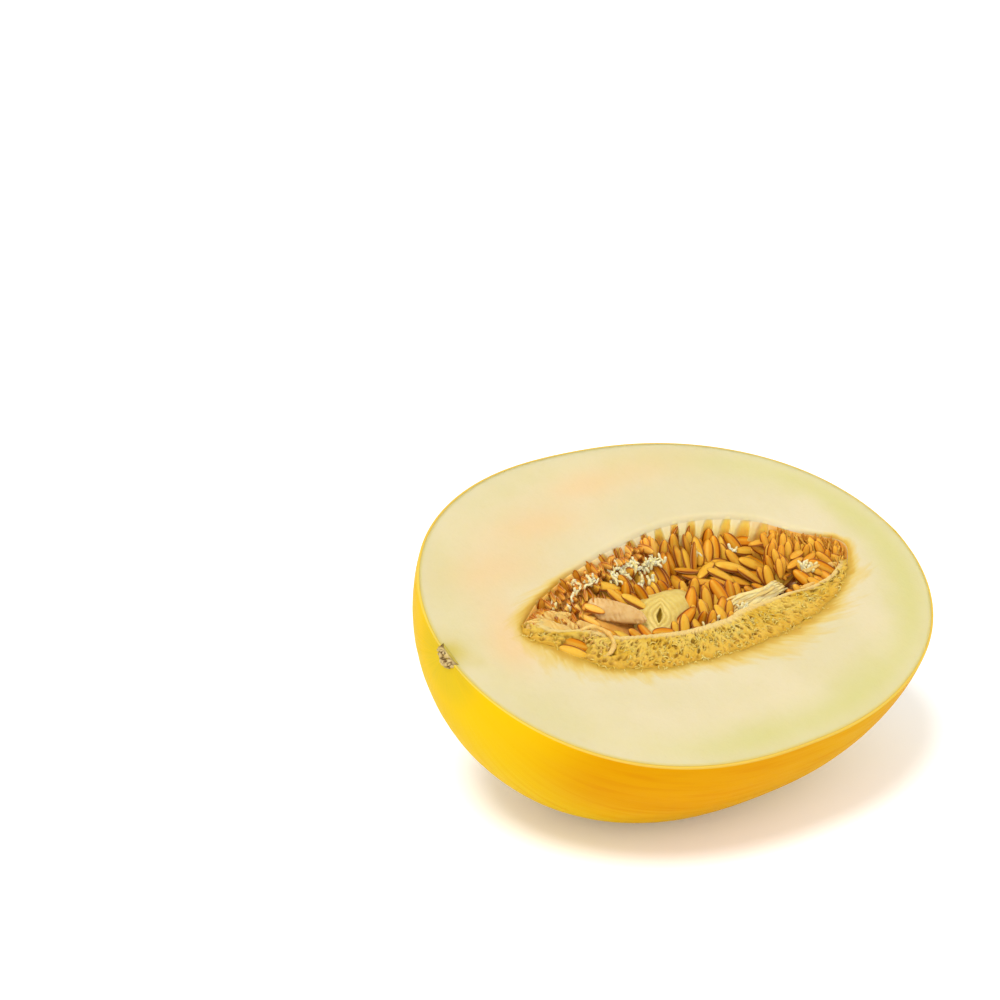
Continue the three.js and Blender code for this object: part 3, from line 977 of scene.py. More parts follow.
def make_band_fibres():
    """Short fibres that fray out of the spongy band, some past its outer edge."""
    random = np.random.default_rng(17)
    shapes = Shapes()
    made = 0
    while made < BAND_FIBRE_COUNT:
        theta = random.uniform(-math.pi, 0.1)
        space, rim = seed_space_radius(theta), hollow_radius(theta)
        if rim - space < 3:
            continue
        share = random.uniform(0.12, 1.12)
        middle = raised(from_centre(theta, space + (rim - space) * share), 0.35 - 0.35 * share)
        if math.dist(middle[:2], POCKET[0]) < POCKET_CLEARANCE:
            continue
        length, radius = random.uniform(1.6, 4.2), random.uniform(0.14, 0.3)
        add_thread(shapes, random, middle, length, radius, lean=60, bend=1.4, steps=11, sides=5)
        made += 1
    shapes.finish("band_fibres", tissue_material("golden_fibre"))


def make_curls():
    """Curled skin at the stalk end of the band, with a tangle inside its loop."""
    shapes = Shapes()
    path = smooth_path(CURL_PATH, CURL_POINTS)
    s = np.linspace(0, 1, CURL_POINTS)
    radius = 0.82 * (1.0 + 0.16 * np.sin(26 * s) + 0.1 * np.sin(2 + 58 * s))
    shapes.add_tube(path, radius, 14, 0.9, groove=0.1, inner=0.0)
    random = np.random.default_rng(5)
    for _ in range(CURL_THREADS):
        middle = np.array([random.uniform(-50, -43.5), random.uniform(-16, -8.5), -0.3])
        length, radius = random.uniform(2.5, 5.0), random.uniform(0.3, 0.5)
        add_thread(shapes, random, middle, length, radius, inner=0.3)
    shapes.finish("pulp_curls", tissue_material("golden_membrane"))


def make_strands():
    """Frayed bundle of flat cream strands at the blossom end."""
    shapes = Shapes()
    middle = np.array(STRAND_MIDDLE, dtype=float)
    steps = np.arange(len(middle))
    spread = np.interp(steps, [0, 1, 3, 5], [0.8, 0.68, 0.3, 0.3])
    taper = 0.3 + 0.7 * np.sin(np.linspace(0.2, math.pi - 0.2, STRAND_POINTS)) ** 0.6
    for i in range(STRAND_COUNT):
        fan = np.outer(spread * (i - STRAND_COUNT // 2), (-0.35, 1.0, 0.12))
        sway = np.stack([
            1.5 * np.sin(2.1 * i + steps),
            0.35 * np.cos(1.7 * i + 2 * steps),
            0.4 * np.sin(3.3 * i + steps),
        ], axis=1)
        ripple = 1 + 0.2 * np.sin(np.linspace(i, i + 24, STRAND_POINTS))
        radius = (0.8 + 0.2 * math.sin(4.4 * i)) * taper * ripple
        path = smooth_path(middle + fan + sway, STRAND_POINTS)
        shapes.add_tube(path, radius, 9, 0.5, groove=0.5 + 0.5 * math.sin(5.1 * i), inner=0.0)
    shapes.finish("pulp_strands", tissue_material("cream_strand"))


def make_threads():
    """Short curly threads over the seeds, thickest below the far wall."""
    random = np.random.default_rng(12)
    shapes = Shapes()
    for count, middle, reach, height in THREAD_PATCHES:
        for _ in range(count):
            spread = np.clip(random.normal(0, 0.55, 2), -1.2, 1.2)
            spot = raised(middle + spread * reach, height + random.uniform(-0.6, 0.6))
            length, radius = random.uniform(1.8, 4.6), random.uniform(0.38, 0.68)
            add_thread(shapes, random, spot, length, radius)
    shapes.finish("pulp_threads", tissue_material("white_thread"))


def make_end_fibres():
    """Orange and gold fibres that line the blossom end above the seeds."""
    random = np.random.default_rng(21)
    shapes = Shapes()
    for _ in range(END_FIBRE_COUNT):
        theta = random.uniform(-0.38, 0.3)
        reach = hollow_radius(theta) - random.uniform(0.6, 4.6)
        middle = raised(from_centre(theta, reach), random.uniform(-6.5, -2.2))
        length, radius = random.uniform(3.5, 8.0), random.uniform(0.2, 0.5)
        add_thread(shapes, random, middle, length, radius,
                   inner=random.uniform(0, 1), lean=14, bend=0.5, steps=14, sides=6)
    shapes.finish("end_fibres", tissue_material("orange_fibre"))


# --- Seeds --------------------------------------------------------------------------------------

SEED_SIZE = np.array([10.6, 4.6, 2.3])
SEED_BEND = 0.35
RIM_SEED_TRIES = 520
RIM_SEED_TOP = -2.4
START_BELOW_BED = 1.6
SETTLE_STEP = 0.35
NEIGHBOUR_REACH = 11.0  # beyond this two seeds can't touch
SKIN_GROWTH = np.array([1.16, 1.02, 1.02])  # a skin stands a little outside its seed

# Light, middle and dark colour of a seed skin, as screen colours. The light one also paints a
# highlight along each seed's middle and the dark one shade toward its rim; a fourth number lifts a
# paint as painted light.
SEED_GOLD = ((255, 204, 74), (236, 146, 14), (140, 50, 0))
SEED_AMBER = ((254, 198, 64), (230, 134, 10), (130, 42, 0))
SEED_RUST = ((254, 192, 66), (238, 148, 26), (156, 66, 0))
SEED_HONEY = ((255, 206, 100, 1.15), (250, 172, 54, 1.15), (190, 94, 12))

WALL_SEED_TOPS = [
    # place along the fruit and height of the tops of the seeds in the far wall
    (-66, -0.6), (-30, -0.6), (-8, -1.4), (8, -2.0), (25, -3.2), (28, -12), (46, -12),
    (48, -2.4), (70, -1.8),
]

SEED_GROUPS = [
    # name, tries, centre, reach, share of full size, highest middle, dip of upright ones, colours
    ("stalk_end_seeds", 600, (-50, 8), (18, 12), 0.68, -3.0, 0, SEED_HONEY),
    ("flap_seeds", 300, (-22, 10), (10, 12), 0.88, -4.4, 0, SEED_GOLD),
    ("far_wall_seeds", 200, (-2, 23), (26, 5), 0.9, -6.6, 50, SEED_AMBER),
    ("lip_seeds", 200, (-6, -13), (20, 5), 0.9, -5.0, 0, SEED_AMBER),
    ("middle_seeds", 420, (10, 11), (34, 14), 0.98, -8.8, 0, SEED_AMBER),
    ("blossom_end_seeds", 620, (61, 1), (16, 14), 0.7, -3.6, 0, SEED_RUST),
]

CORE_SEEDS = [
    # middle, direction its point shows in the reference view, size
    ((1.4, -2.9, -4.6), 82, (12.2, 4.9, 2.6)),
    ((-5.4, -8.9, -5.4), 50, (12.6, 4.9, 2.6)),
    ((16.6, -1.2, -6.4), -58, (12.0, 4.8, 2.4)),
    ((11.6, -9.2, -6.2), 84, (11.4, 5.0, 2.6)),
    ((-16.5, -11.6, -5.2), 4, (8.0, 3.6, 2.2)),
]


def seed_grid(rows, sides):
    """Almond of unit size along its first axis, point toward +1, rounded at both ends.

    Gives its points, their share of the way out to its rim, and their place along it.
    """
    angle = np.linspace(0.02, math.pi - 0.02, rows)
    turn = np.linspace(0, 2 * math.pi, sides, endpoint=False)
    a, t = np.meshgrid(angle, turn, indexing="ij")
    x = -np.cos(a) / 2
    width = np.sin(a) ** 0.95 * (1 - 0.28 * x - 0.42 * np.maximum(x, 0) ** 2) / 2
    rim = np.abs(np.cos(t))
    across = np.sign(np.cos(t)) * rim ** 0.92
    upward = np.sign(np.sin(t)) * np.abs(np.sin(t)) ** 1.15
    return np.stack([x, width * across * 1.04, width * upward], axis=-1), rim, x


SEED_GRID, SEED_EDGE, SEED_ALONG = seed_grid(*SEED_GRID_SIZE)
SEED_PROBE = seed_grid(20, 24)[0][2::4, ::3].reshape(-1, 3)


def add_seed(shapes, centre, axes, size, tint):
    """One seed, bent a little up or down at its ends by its tint."""
    points = SEED_GRID * size * SKIN_GROWTH
    points[..., 2] += SEED_BEND * size[2] * (2 * SEED_ALONG) ** 2 * (tint - 0.4)
    shapes.add_grid(points @ axes + np.asarray(centre), edge=SEED_EDGE, along=SEED_ALONG, tint=tint)


class SeedPile:
    """Seeds already in the hollow. More settle among them, low enough just to touch."""

    def __init__(self):
        self.middles = np.zeros((0, 3))
        self.axes = np.zeros((0, 3, 3))
        self.halves = np.zeros((0, 3))

    def add(self, middle, axes, size):
        self.middles = np.vstack([self.middles, middle])
        self.axes = np.concatenate([self.axes, [axes]])
        self.halves = np.vstack([self.halves, np.asarray(size) / 2])

    def is_clear(self, points, tightness):
        """Whether points stay out of every seed, each shrunk to its tightness."""
        apart = np.linalg.norm(self.middles - points.mean(axis=0), axis=1)
        near = apart < NEIGHBOUR_REACH
        offsets = points[None] - self.middles[near][:, None]
        local = np.einsum("npk,nak->npa", offsets, self.axes[near]) / self.halves[near][:, None]
        return not (np.linalg.norm(local, axis=2) < tightness).any()

    def settle(self, x, y, axes, size, highest, tightness=0.85):
        """Middle of a seed laid at a place, or nothing where it would stand too high."""
        probe = (SEED_PROBE * size) @ axes
        z = float(bed_top(np.array([x, y]))) - probe[:, 2].min() - START_BELOW_BED
        while z < highest:
            if self.is_clear(probe + np.array([x, y, z]), tightness):
                self.add((x, y, z), axes, size)
                return np.array([x, y, z])
            z += SETTLE_STEP
        return None


PILE = SeedPile()


def in_seed_space(x, y, z, margin):
    """Whether a place is inside the seed space and the hollow's wall, by a margin."""
    theta = math.atan2(y - HOLLOW_CENTRE[1], x - HOLLOW_CENTRE[0])
    wall = hollow_radius(theta) * hollow_narrowing(-z / HOLLOW_DEPTH)
    return math.dist((x, y), HOLLOW_CENTRE) < min(seed_space_radius(theta), wall) - margin


def near_big_tissue(x, y):
    """Whether a seed here would show through the lobe, the flap or the hole."""
    return any(oval((x, y), *place_and_size) < 1 for place_and_size in BIG_TISSUES)


def make_cad_seeds():
    """Skins for the CAD seeds."""
    material = seed_material("seed_skin", SEED_GOLD)
    for i, (name, (middle, axes, size)) in enumerate(CAD_SEEDS.items()):
        PILE.add(middle, axes, size)
        shapes = Shapes()
        add_seed(shapes, middle, axes, size, 0.5 + 0.5 * math.sin(2.7 * i))
        shapes.finish(name + "_skin", material, [name])


def make_core_seeds():
    """Big seeds beside the lobe, turned toward the reference view."""
    shapes = Shapes()
    for middle, direction, size in CORE_SEEDS:
        axes = facing(direction, 0.3)
        PILE.add(middle, axes, size)
        add_seed(shapes, middle, axes, np.array(size) / SKIN_GROWTH, 0.9)
    shapes.finish("core_seeds", seed_material("core_seed_skin", SEED_AMBER))


def neighbour_axes(x, y, random, upright=0.0):
    """Own axes for a seed at a place: those of the nearest CAD seed, turned a little."""
    if upright > 0:
        heading = random.uniform(60, 125)
        return turned(heading, upright * random.uniform(0.7, 1.2), random.uniform(-50, 50))
    nearest = min(CAD_SEEDS.values(), key=lambda pose: math.dist(pose[0][:2], (x, y)))
    return nearest[1] @ turned(*(random.normal(0, 1, 3) * (13, 8, 16)))


def make_wall_seeds():
    """Seeds that stand in the far wall's grooves, and small ones between them at the stalk end."""
    random = np.random.default_rng(8)
    shapes = Shapes()
    for spot in np.linspace(GROOVE_FIRST, GROOVE_LAST, 2 * GROOVE_COUNT - 1):
        on_rim = RIM_LINE[int(spot * RIM_POINTS)]
        groove_number = (spot - GROOVE_FIRST) / (GROOVE_LAST - GROOVE_FIRST) * (GROOVE_COUNT - 1)
        in_groove = groove_number % 1.0 < 0.25
        top = np.interp(on_rim[0], *zip(*WALL_SEED_TOPS)) - (0.0 if in_groove else 2.0)
        if top < -8 or (on_rim[0] > 0 and not in_groove):
            continue
        inward = HOLLOW_CENTRE - on_rim
        inward /= np.linalg.norm(inward)
        share = np.interp(on_rim[0], [-40, 5], [0.72, 0.92])
        size = SEED_SIZE * share * random.uniform(0.9, 1.05)
        steepness = random.uniform(48, 74)
        heading = math.degrees(math.atan2(-inward[1], -inward[0])) + random.uniform(-25, 25)
        axes = turned(heading, steepness, 90 + random.uniform(-40, 40))
        rise = size[0] / 2 * math.sin(math.radians(steepness))
        height = top + random.uniform(-1.2, 0.0) - rise
        middle = raised(on_rim + inward * (1.1 + 0.03 * height ** 2), height)
        PILE.add(middle, axes, size)
        add_seed(shapes, middle, axes, size, random.uniform(0, 1))
    shapes.finish("wall_seeds", seed_material("wall_seed_skin", SEED_RUST))


def make_rim_seeds():
    """Small end-on seeds close under the rim at the stalk end."""
    random = np.random.default_rng(4)
    shapes = Shapes()
    for _ in range(RIM_SEED_TRIES):
        on_rim = RIM_LINE[int(random.uniform(0.015, 0.25) * RIM_POINTS)]
        inward = HOLLOW_CENTRE - on_rim
        x, y = on_rim + inward / np.linalg.norm(inward) * random.uniform(1.8, 6.5)
        axes = neighbour_axes(x, y, random)
        size = SEED_SIZE * random.uniform(0.56, 0.72)
        middle = PILE.settle(x, y, axes, size, RIM_SEED_TOP, 0.75)
        if middle is not None:
            add_seed(shapes, middle, axes, size, random.uniform(0, 1))
    shapes.finish("rim_seeds", seed_material("rim_seed_skin", SEED_HONEY))


def make_filler_seeds():
    """Seeds that settle in the gaps, one piece for each group."""
    random = np.random.default_rng(31)
    for name, tries, centre, reach, share, highest, upright, colours in SEED_GROUPS:
        shapes = Shapes()
        for _ in range(tries):
            x, y = np.array(centre) + random.uniform(-1, 1, 2) * reach
            axes = neighbour_axes(x, y, random, upright)
            size = SEED_SIZE * share * random.uniform(0.9, 1.06)
            if not in_seed_space(x, y, -5.0, 0.8) or near_big_tissue(x, y):
                continue
            middle = PILE.settle(x, y, axes, size, highest)
            if middle is not None:
                add_seed(shapes, middle, axes, size, random.uniform(0, 1))
        shapes.finish(name, seed_material(name + "_skin", colours))


# --- Stalk scar ---------------------------------------------------------------------------------

def make_stalk_scar():
    """Corky half disc where the stalk came off, cracked and rough."""
    turn = np.linspace(0, math.pi, SCAR_GRID[1])
    s, t = np.meshgrid(np.linspace(0.0, 1.0, SCAR_GRID[0]), turn, indexing="ij")
    radius = SCAR_RADIUS * s * (1 + 0.05 * np.sin(5 * t) + 0.03 * np.sin(11 * t))
    flat = np.stack([np.zeros_like(s), radius * np.cos(t), -radius * np.sin(t)], axis=-1)
    profile = np.interp(s, *zip(*SCAR_PROFILE))
    nearest, second = cell_distances(flat, 1.5, 77)
    crack = 1 - smooth(second - nearest, 0.02, 0.25)
    relief = profile + 0.35 * fractal(flat, 1.6, 3, 79) + 0.8 * crack
    front = flat.copy()
    front[..., 0] = SCAR_SEAT + relief * smooth(s, 1.02, 0.9)
    back = flat[::-1].copy()
    back[..., 0] = SCAR_SEAT + 0.1
    shapes = Shapes()
    shapes.add_grid(np.concatenate([front, back]).transpose(1, 0, 2),
                    crack=np.concatenate([crack, 0 * crack]).T,
                    height=np.concatenate([profile, 0 * profile]).T)
    shapes.finish("stalk_scar_cork", scar_material(), ["stem_scar"])


# --- Materials ----------------------------------------------------------------------------------

def srgb(red, green, blue, gain=1.0):
    """Shader colour of a screen colour given as 0 to 255. gain lifts a paint that lies in shade."""
    shares = (c / 255 for c in (red, green, blue))
    linear = (c / 12.92 if c <= 0.0404 else ((c + 0.055) / 1.055) ** 2.4 for c in shares)
    return (*(gain * PAINT_SHARE * c for c in linear), 1.0)


class Nodes:
    """A material's nodes, made and linked by short calls."""

    def __init__(self, name):
        self.material = bpy.data.materials.new(name)
        self.material.use_nodes = True
        self.tree = self.material.node_tree
        self.shader = self.tree.nodes["Principled BSDF"]

    def add(self, kind, inputs, **settings):
        node = self.tree.nodes.new(kind)
        for key, value in settings.items():
            setattr(node, key, value)
        for key, value in inputs.items():
            self.feed(node.inputs[key], value)
        return node

    def feed(self, socket, value):
        if isinstance(value, bpy.types.NodeSocket):
            self.tree.links.new(value, socket)
        else:
            socket.default_value = value

    def attribute(self, name):
        return self.add("ShaderNodeAttribute", {}, attribute_name=name).outputs["Fac"]

    def math(self, operation, a, b):
        return self.add("ShaderNodeMath", {0: a, 1: b}, operation=operation).outputs[0]

    def times(self, a, b):
        return self.math("MULTIPLY", a, b)

    def remap(self, value, from_low, from_high, to_low=0.0, to_high=1.0):
        """A value brought from one range to another, smoothly, and held at its ends."""
        inputs = {
            "Value": value, "From Min": from_low, "From Max": from_high,
            "To Min": to_low, "To Max": to_high,
        }
        node = self.add("ShaderNodeMapRange", inputs, interpolation_type="SMOOTHSTEP")
        return node.outputs["Result"]

    def vector(self, x, y):
        return self.add("ShaderNodeCombineXYZ", {0: x, 1: y}).outputs[0]

    def position(self):
        return self.add("ShaderNodeTexCoord", {}).outputs["Object"]

    def noise(self, vector, scale, detail=3.0, roughness=0.5, distortion=0.0):
        inputs = {
            "Vector": vector, "Scale": scale, "Detail": detail, "Roughness": roughness,
            "Distortion": distortion,
        }
        return self.add("ShaderNodeTexNoise", inputs).outputs["Fac"]

    def stretched(self, vector, scale):
        return self.add("ShaderNodeMapping", {"Vector": vector, "Scale": scale}).outputs[0]

    def mix(self, share, a, b):
        return self.add("ShaderNodeMix", {0: share, 6: a, 7: b}, data_type="RGBA").outputs[2]

    def stain(self, colour, paint, share):
        """A colour with a share of a screen colour laid over it, used for the fruit's own tones and
        also for painted light and painted shade.
        """
        return self.mix(share, colour, srgb(*paint))

    def wash(self, colour, paint, value, low, high, strength=1.0):
        """A colour under a screen colour that comes in as a value goes from low to high."""
        return self.stain(colour, paint, self.remap(value, low, high, 0.0, strength))

    def bump(self, height, strength, distance, **under):
        inputs = {"Height": height, "Strength": strength, "Distance": distance, **under}
        return self.add("ShaderNodeBump", inputs).outputs["Normal"]

    def surface(self, **sockets):
        for key, value in sockets.items():
            self.feed(self.shader.inputs[key.replace("_", " ")], value)
        return self.material


def rind_material():
    """Waxy yellow skin, streaked lengthwise, paler at the cut, and lighter toward the blossom end,
    below and at the stalk end. The blossom end and the underside are painted light; at the stalk
    end the rind's own lemon tone is lifted by painted light.
    """
    n = Nodes("waxy_rind")
    lengthwise = n.attribute("lengthwise")
    girth = n.attribute("girth")
    broad = n.noise(n.vector(n.times(lengthwise, 0.4), girth), 0.03)
    streaks = n.noise(n.vector(n.times(lengthwise, 0.1), girth), 0.3, 5.0, 0.6, 0.3)
    fine = n.noise(n.vector(n.times(lengthwise, 0.07), girth), 1.1, 4.0, 0.6)
    pores = n.noise(n.position(), 1100.0, 2.0)
    colour = n.wash(srgb(238, 160, 0), (246, 174, 0), broad, 0.32, 0.68)
    # Lighter toward the blossom end: painted light, against shade that falls off toward that end.
    colour = n.wash(colour, (246, 186, 0), lengthwise, -40.0, 30.0, 0.8)
    # Lighter on the underside: painted light, as if thrown up from the floor.
    painted_underside_light = n.times(n.remap(girth, 222.0, 172.0, 0.0, 0.85), n.remap(girth, 20.0, 90.0))
    colour = n.stain(colour, (255, 216, 0), painted_underside_light)
    colour = n.wash(colour, (234, 146, 0), streaks, 0.45, 0.75, 0.5)
    colour = n.wash(colour, (252, 190, 0), fine, 0.52, 0.75, 0.3)
    # Paler at the stalk end: the rind's own lemon tone, lifted by a gain as painted light.
    stalk_end = n.times(n.remap(lengthwise, -68.0, -98.0), 0.85)
    colour = n.stain(colour, (255, 210, 8, 1.14), stalk_end)
    by_scar = n.times(n.remap(lengthwise, -97.0, -99.6), n.remap(fine, 0.3, 0.6, 0.1, 0.5))
    colour = n.stain(colour, (214, 194, 50), by_scar)
    cut_edge = n.math("MAXIMUM", n.remap(girth, 1.0, 0.2), n.remap(girth, 237.8, 238.6))
    colour = n.stain(colour, (246, 216, 104), n.times(cut_edge, 0.7))
    bump = n.bump(fine, 0.25, 0.0004)
    bump = n.bump(pores, 0.25, 0.00012, Normal=bump)
    return n.surface(
        Base_Color=colour, Roughness=n.remap(streaks, 0.2, 0.8, 0.44, 0.58), Normal=bump,
        Specular_IOR_Level=0.02, Specular_Tint=(1.0, 0.7, 0.05, 1.0), Subsurface_Weight=0.1,
        Subsurface_Radius=(1.0, 0.5, 0.05), Subsurface_Scale=0.003)


def flesh_green(n, clouds):
    """How green the flesh is, most near the rind on the blossom side."""
    from_rind = n.attribute("from_rind")
    wavy = n.math("ADD", from_rind, n.remap(clouds, 0.3, 0.7, -2.0, 2.0))
    green = n.times(n.remap(wavy, 24.0, 4.0), n.remap(from_rind, 0.5, 9.0, 0.45, 1.0))
    return n.times(green, n.remap(n.attribute("green_side"), 0.0, 1.0, 0.14, 0.6))


def fringed(n, colour, from_hollow, fibres, fibre_map):
    """The flesh's colour with the golden fringe that feathers out from the hollow."""
    fringe = n.attribute("fringe")
    wisps = n.noise(fibre_map, 0.11)
    ragged = n.times(n.remap(fibres, 0.25, 0.75, 0.65, 1.1), n.remap(wisps, 0.3, 0.7, 0.7, 1.3))
    share = n.math("DIVIDE", from_hollow, n.times(n.attribute("fringe_reach"), ragged))
    outside = n.remap(from_hollow, -0.4, 0.0)
    for paint, start, full in (((243, 206, 92), 1.9, 0.3), ((218, 164, 34), 0.85, 0.1)):
        glow = n.times(n.remap(share, start, full, 0.0, 0.9), outside)
        colour = n.stain(colour, paint, n.times(glow, fringe))
    return colour


def hollow_wall(n, colour, from_hollow, fibres):
    """The flesh's colour with the pale ribs and the golden niches inside the hollow, their paints
    lifted by gains as painted light against the hollow's shade.
    """
    rib = n.wash(srgb(246, 228, 176, 1.12), (250, 224, 146, 1.25), from_hollow, -1.5, -5.0)
    rib = n.wash(rib, (248, 190, 84, 1.35), from_hollow, -4.5, -10.0)
    # Golden patches on the wall at the stalk side, lifted by a strong gain: painted light over the
    # shade under the rim there.
    rib = n.stain(rib, (250, 206, 100, 1.58), n.times(n.attribute("stalk_side"), 0.9))
    niche = n.wash(srgb(250, 232, 146, 1.36), (250, 224, 104, 1.56), from_hollow, 0.5, -3.5)
    niche = n.wash(niche, (248, 192, 56, 1.6), from_hollow, -4.0, -11.0)
    # The gold at the blossom end is lifted by gains too: painted light.
    gold = n.wash(srgb(250, 176, 50, 1.32), (234, 170, 40, 1.25), fibres, 0.35, 0.65)
    rib = n.mix(n.times(n.attribute("blossom_end"), 0.9), rib, gold)
    colour = n.mix(n.remap(from_hollow, -0.2, -1.6), colour, rib)
    return n.mix(n.remap(n.attribute("groove"), 0.1, 0.9), colour, niche)


def flesh_material():
    """Moist pale flesh, ruddy in patches, green toward the rind, golden round the hollow."""
    n = Nodes("moist_flesh")
    from_hollow = n.attribute("from_hollow")
    cells = n.noise(n.position(), 420.0, 4.0, 0.65)
    clouds = n.noise(n.position(), 30.0, 4.0, 0.55)
    colour = n.wash(srgb(238, 223, 174), (244, 228, 184), clouds, 0.35, 0.68)
    colour = n.stain(colour, (253, 214, 156), n.times(n.attribute("peach"), 0.75))
    colour = n.stain(colour, (222, 218, 120), flesh_green(n, clouds))
    colour = n.wash(colour, (244, 218, 116), n.attribute("from_rind"), 1.3, 0.2, 0.7)
    colour = n.stain(colour, (224, 200, 84), n.attribute("by_scar"))
    slanted = n.math("ADD", n.attribute("along_rim"), n.times(from_hollow, 0.9))
    fibre_map = n.vector(slanted, n.times(from_hollow, 0.5))
    fibres = n.noise(fibre_map, 0.34, 4.0, 0.5, 0.5)
    colour = fringed(n, colour, from_hollow, fibres, fibre_map)
    colour = hollow_wall(n, colour, from_hollow, fibres)
    colour = n.wash(colour, (226, 204, 140), cells, 0.5, 0.8, 0.12)
    return n.surface(
        Base_Color=colour, Roughness=n.remap(cells, 0.3, 0.7, 0.36, 0.5),
        Normal=n.bump(cells, 0.4, 0.0003), Specular_IOR_Level=0.25, Subsurface_Weight=0.7,
        Subsurface_Radius=(1.0, 0.75, 0.4), Subsurface_Scale=0.007)


def pulp_material():
    """Wet pulp: golden network and dark pits in the band, with painted highlight on the webs and
    painted shade in the pits; a brown bed under the seeds, partly painted shade; and a hole painted
    dark as shade.
    """
    n = Nodes("wet_pulp")
    band = n.attribute("band")
    outer = n.attribute("outer")
    patches = n.noise(n.position(), 120.0, 3.0, 0.6)
    specks = n.noise(n.position(), 700.0, 3.0, 0.6)
    network = n.wash(srgb(246, 208, 96), (228, 180, 48), patches, 0.35, 0.65)
    network = n.wash(network, (236, 184, 60), outer, 0.4, 0.95, 0.8)
    pits = n.wash(srgb(150, 104, 8), (184, 130, 18), patches, 0.3, 0.7)
    pits = n.wash(pits, (192, 134, 16), outer, 0.4, 0.95)
    # Pale paint on the band's raised webs and dark paint in its pits: the pulp's own cream and
    # olive, with painted highlight on the webs and painted shade in the pits.
    spongy = n.mix(n.remap(n.attribute("web"), 0.1, 0.8), pits, network)
    spongy = n.stain(spongy, (150, 98, 10), n.times(n.attribute("pit"), 0.7))
    # Pale inner lip: the pulp's own cream with a painted highlight along its edge.
    spongy = n.stain(spongy, (248, 216, 140), n.times(n.attribute("lip"), 0.85))
    spongy = n.wash(spongy, (218, 166, 46), outer, 0.84, 1.0)
    # The bed's dark brown is partly its own colour and partly painted shade in the gaps between the
    # seeds.
    bed = n.wash(srgb(140, 60, 2), (180, 92, 8), patches, 0.3, 0.7)
    bed = n.wash(bed, (226, 160, 60), specks, 0.5, 0.72)
    # Lifted by a gain at the stalk end: painted light.
    bed = n.stain(bed, (246, 182, 84, 1.18), n.times(n.attribute("stalk_end"), 0.85))
    # Painted shade in the hole.
    bed = n.wash(bed, (104, 32, 0), n.attribute("hole"), 0.1, 0.6)
    colour = n.mix(n.remap(band, 0.1, 0.7), bed, spongy)
    return n.surface(
        Base_Color=colour, Roughness=n.remap(band, 0.0, 1.0, 0.28, 0.42),
        Normal=n.bump(specks, 0.3, 0.0005), Subsurface_Weight=0.35,
        Subsurface_Radius=(1.0, 0.7, 0.25), Subsurface_Scale=0.0025,
        Specular_IOR_Level=0.3, Specular_Tint=(1.0, 0.85, 0.5, 1.0))


TISSUES = {
    # screen colours of a tissue's ridges, its furrows and its inner side; a fourth number lifts a
    # paint as painted light
    "pale_lobe": ((244, 216, 122), (222, 182, 74), (170, 130, 26)),
    "pink_flap": ((242, 200, 132), (222, 164, 84), (186, 126, 50)),
    "golden_membrane": ((246, 206, 120), (228, 166, 64), (190, 130, 40)),
    "cream_strand": ((255, 228, 152, 1.12), (246, 200, 112, 1.12), (206, 150, 70)),
    "white_thread": ((255, 244, 196), (250, 226, 150), (200, 170, 96)),
    "golden_fibre": ((250, 218, 118), (236, 190, 66), (200, 150, 40)),
    "orange_fibre": ((250, 190, 70), (236, 156, 40), (206, 130, 24)),
}


def tissue_material(name):
    """Translucent wet tissue, deeper in its furrows and darker on its inner side. On the lobe and
    the leaves the furrows are painted shade, and so is the lobe's inner side in its slit.
    """
    n = Nodes(name)
    ridge, furrow, inner_side = TISSUES[name]
    patches = n.noise(n.position(), 320.0, 3.0, 0.6)
    fibres = n.noise(n.stretched(n.position(), (200.0, 900.0, 900.0)), 1.0, 4.0, 0.6)
    colour = n.wash(srgb(*ridge), furrow, n.attribute("groove"), 0.3, 1.0, 0.75)
    colour = n.wash(colour, furrow, patches, 0.4, 0.75, 0.6)
    colour = n.wash(colour, inner_side, n.attribute("inner"), 0.05, 0.7)
    return n.surface(
        Base_Color=colour, Roughness=0.36, Normal=n.bump(fibres, 0.3, 0.0004),
        Subsurface_Weight=0.5, Subsurface_Radius=(1.0, 0.8, 0.35), Subsurface_Scale=0.0022,
        Specular_IOR_Level=0.4, Specular_Tint=(1.0, 0.85, 0.5, 1.0))


def seed_material(name, colours):
    """Wet seed skin, with a painted highlight along its middle, painted shade toward its rim and a
    pale line on the rim itself.
    """
    n = Nodes(name)
    light, middle, dark = colours
    edge = n.attribute("edge")
    clouds = n.noise(n.position(), 260.0, 3.0, 0.6)
    grain = n.noise(n.position(), 1400.0, 3.0, 0.6)
    colour = n.stain(srgb(*light), middle, n.attribute("tint"))
    colour = n.wash(colour, middle, clouds, 0.45, 0.75, 0.6)
    # Painted highlight along the seed's middle.
    colour = n.wash(colour, light, edge, 0.45, 0.0, 0.55)
    # Painted shade toward the seed's rim, darkening the gaps between seeds.
    colour = n.wash(colour, dark, edge, 0.58, 0.9, 0.95)
    colour = n.wash(colour, (250, 196, 116), edge, 0.95, 1.0, 0.6)
    colour = n.wash(colour, dark, n.attribute("along"), 0.32, 0.5, 0.6)
    return n.surface(
        Base_Color=colour, Roughness=n.remap(clouds, 0.3, 0.7, 0.28, 0.42),
        Normal=n.bump(grain, 0.15, 0.0003), Specular_IOR_Level=0.4,
        Specular_Tint=(1.0, 0.65, 0.2, 1.0), Subsurface_Weight=0.3,
        Subsurface_Radius=(1.0, 0.5, 0.1), Subsurface_Scale=0.002)


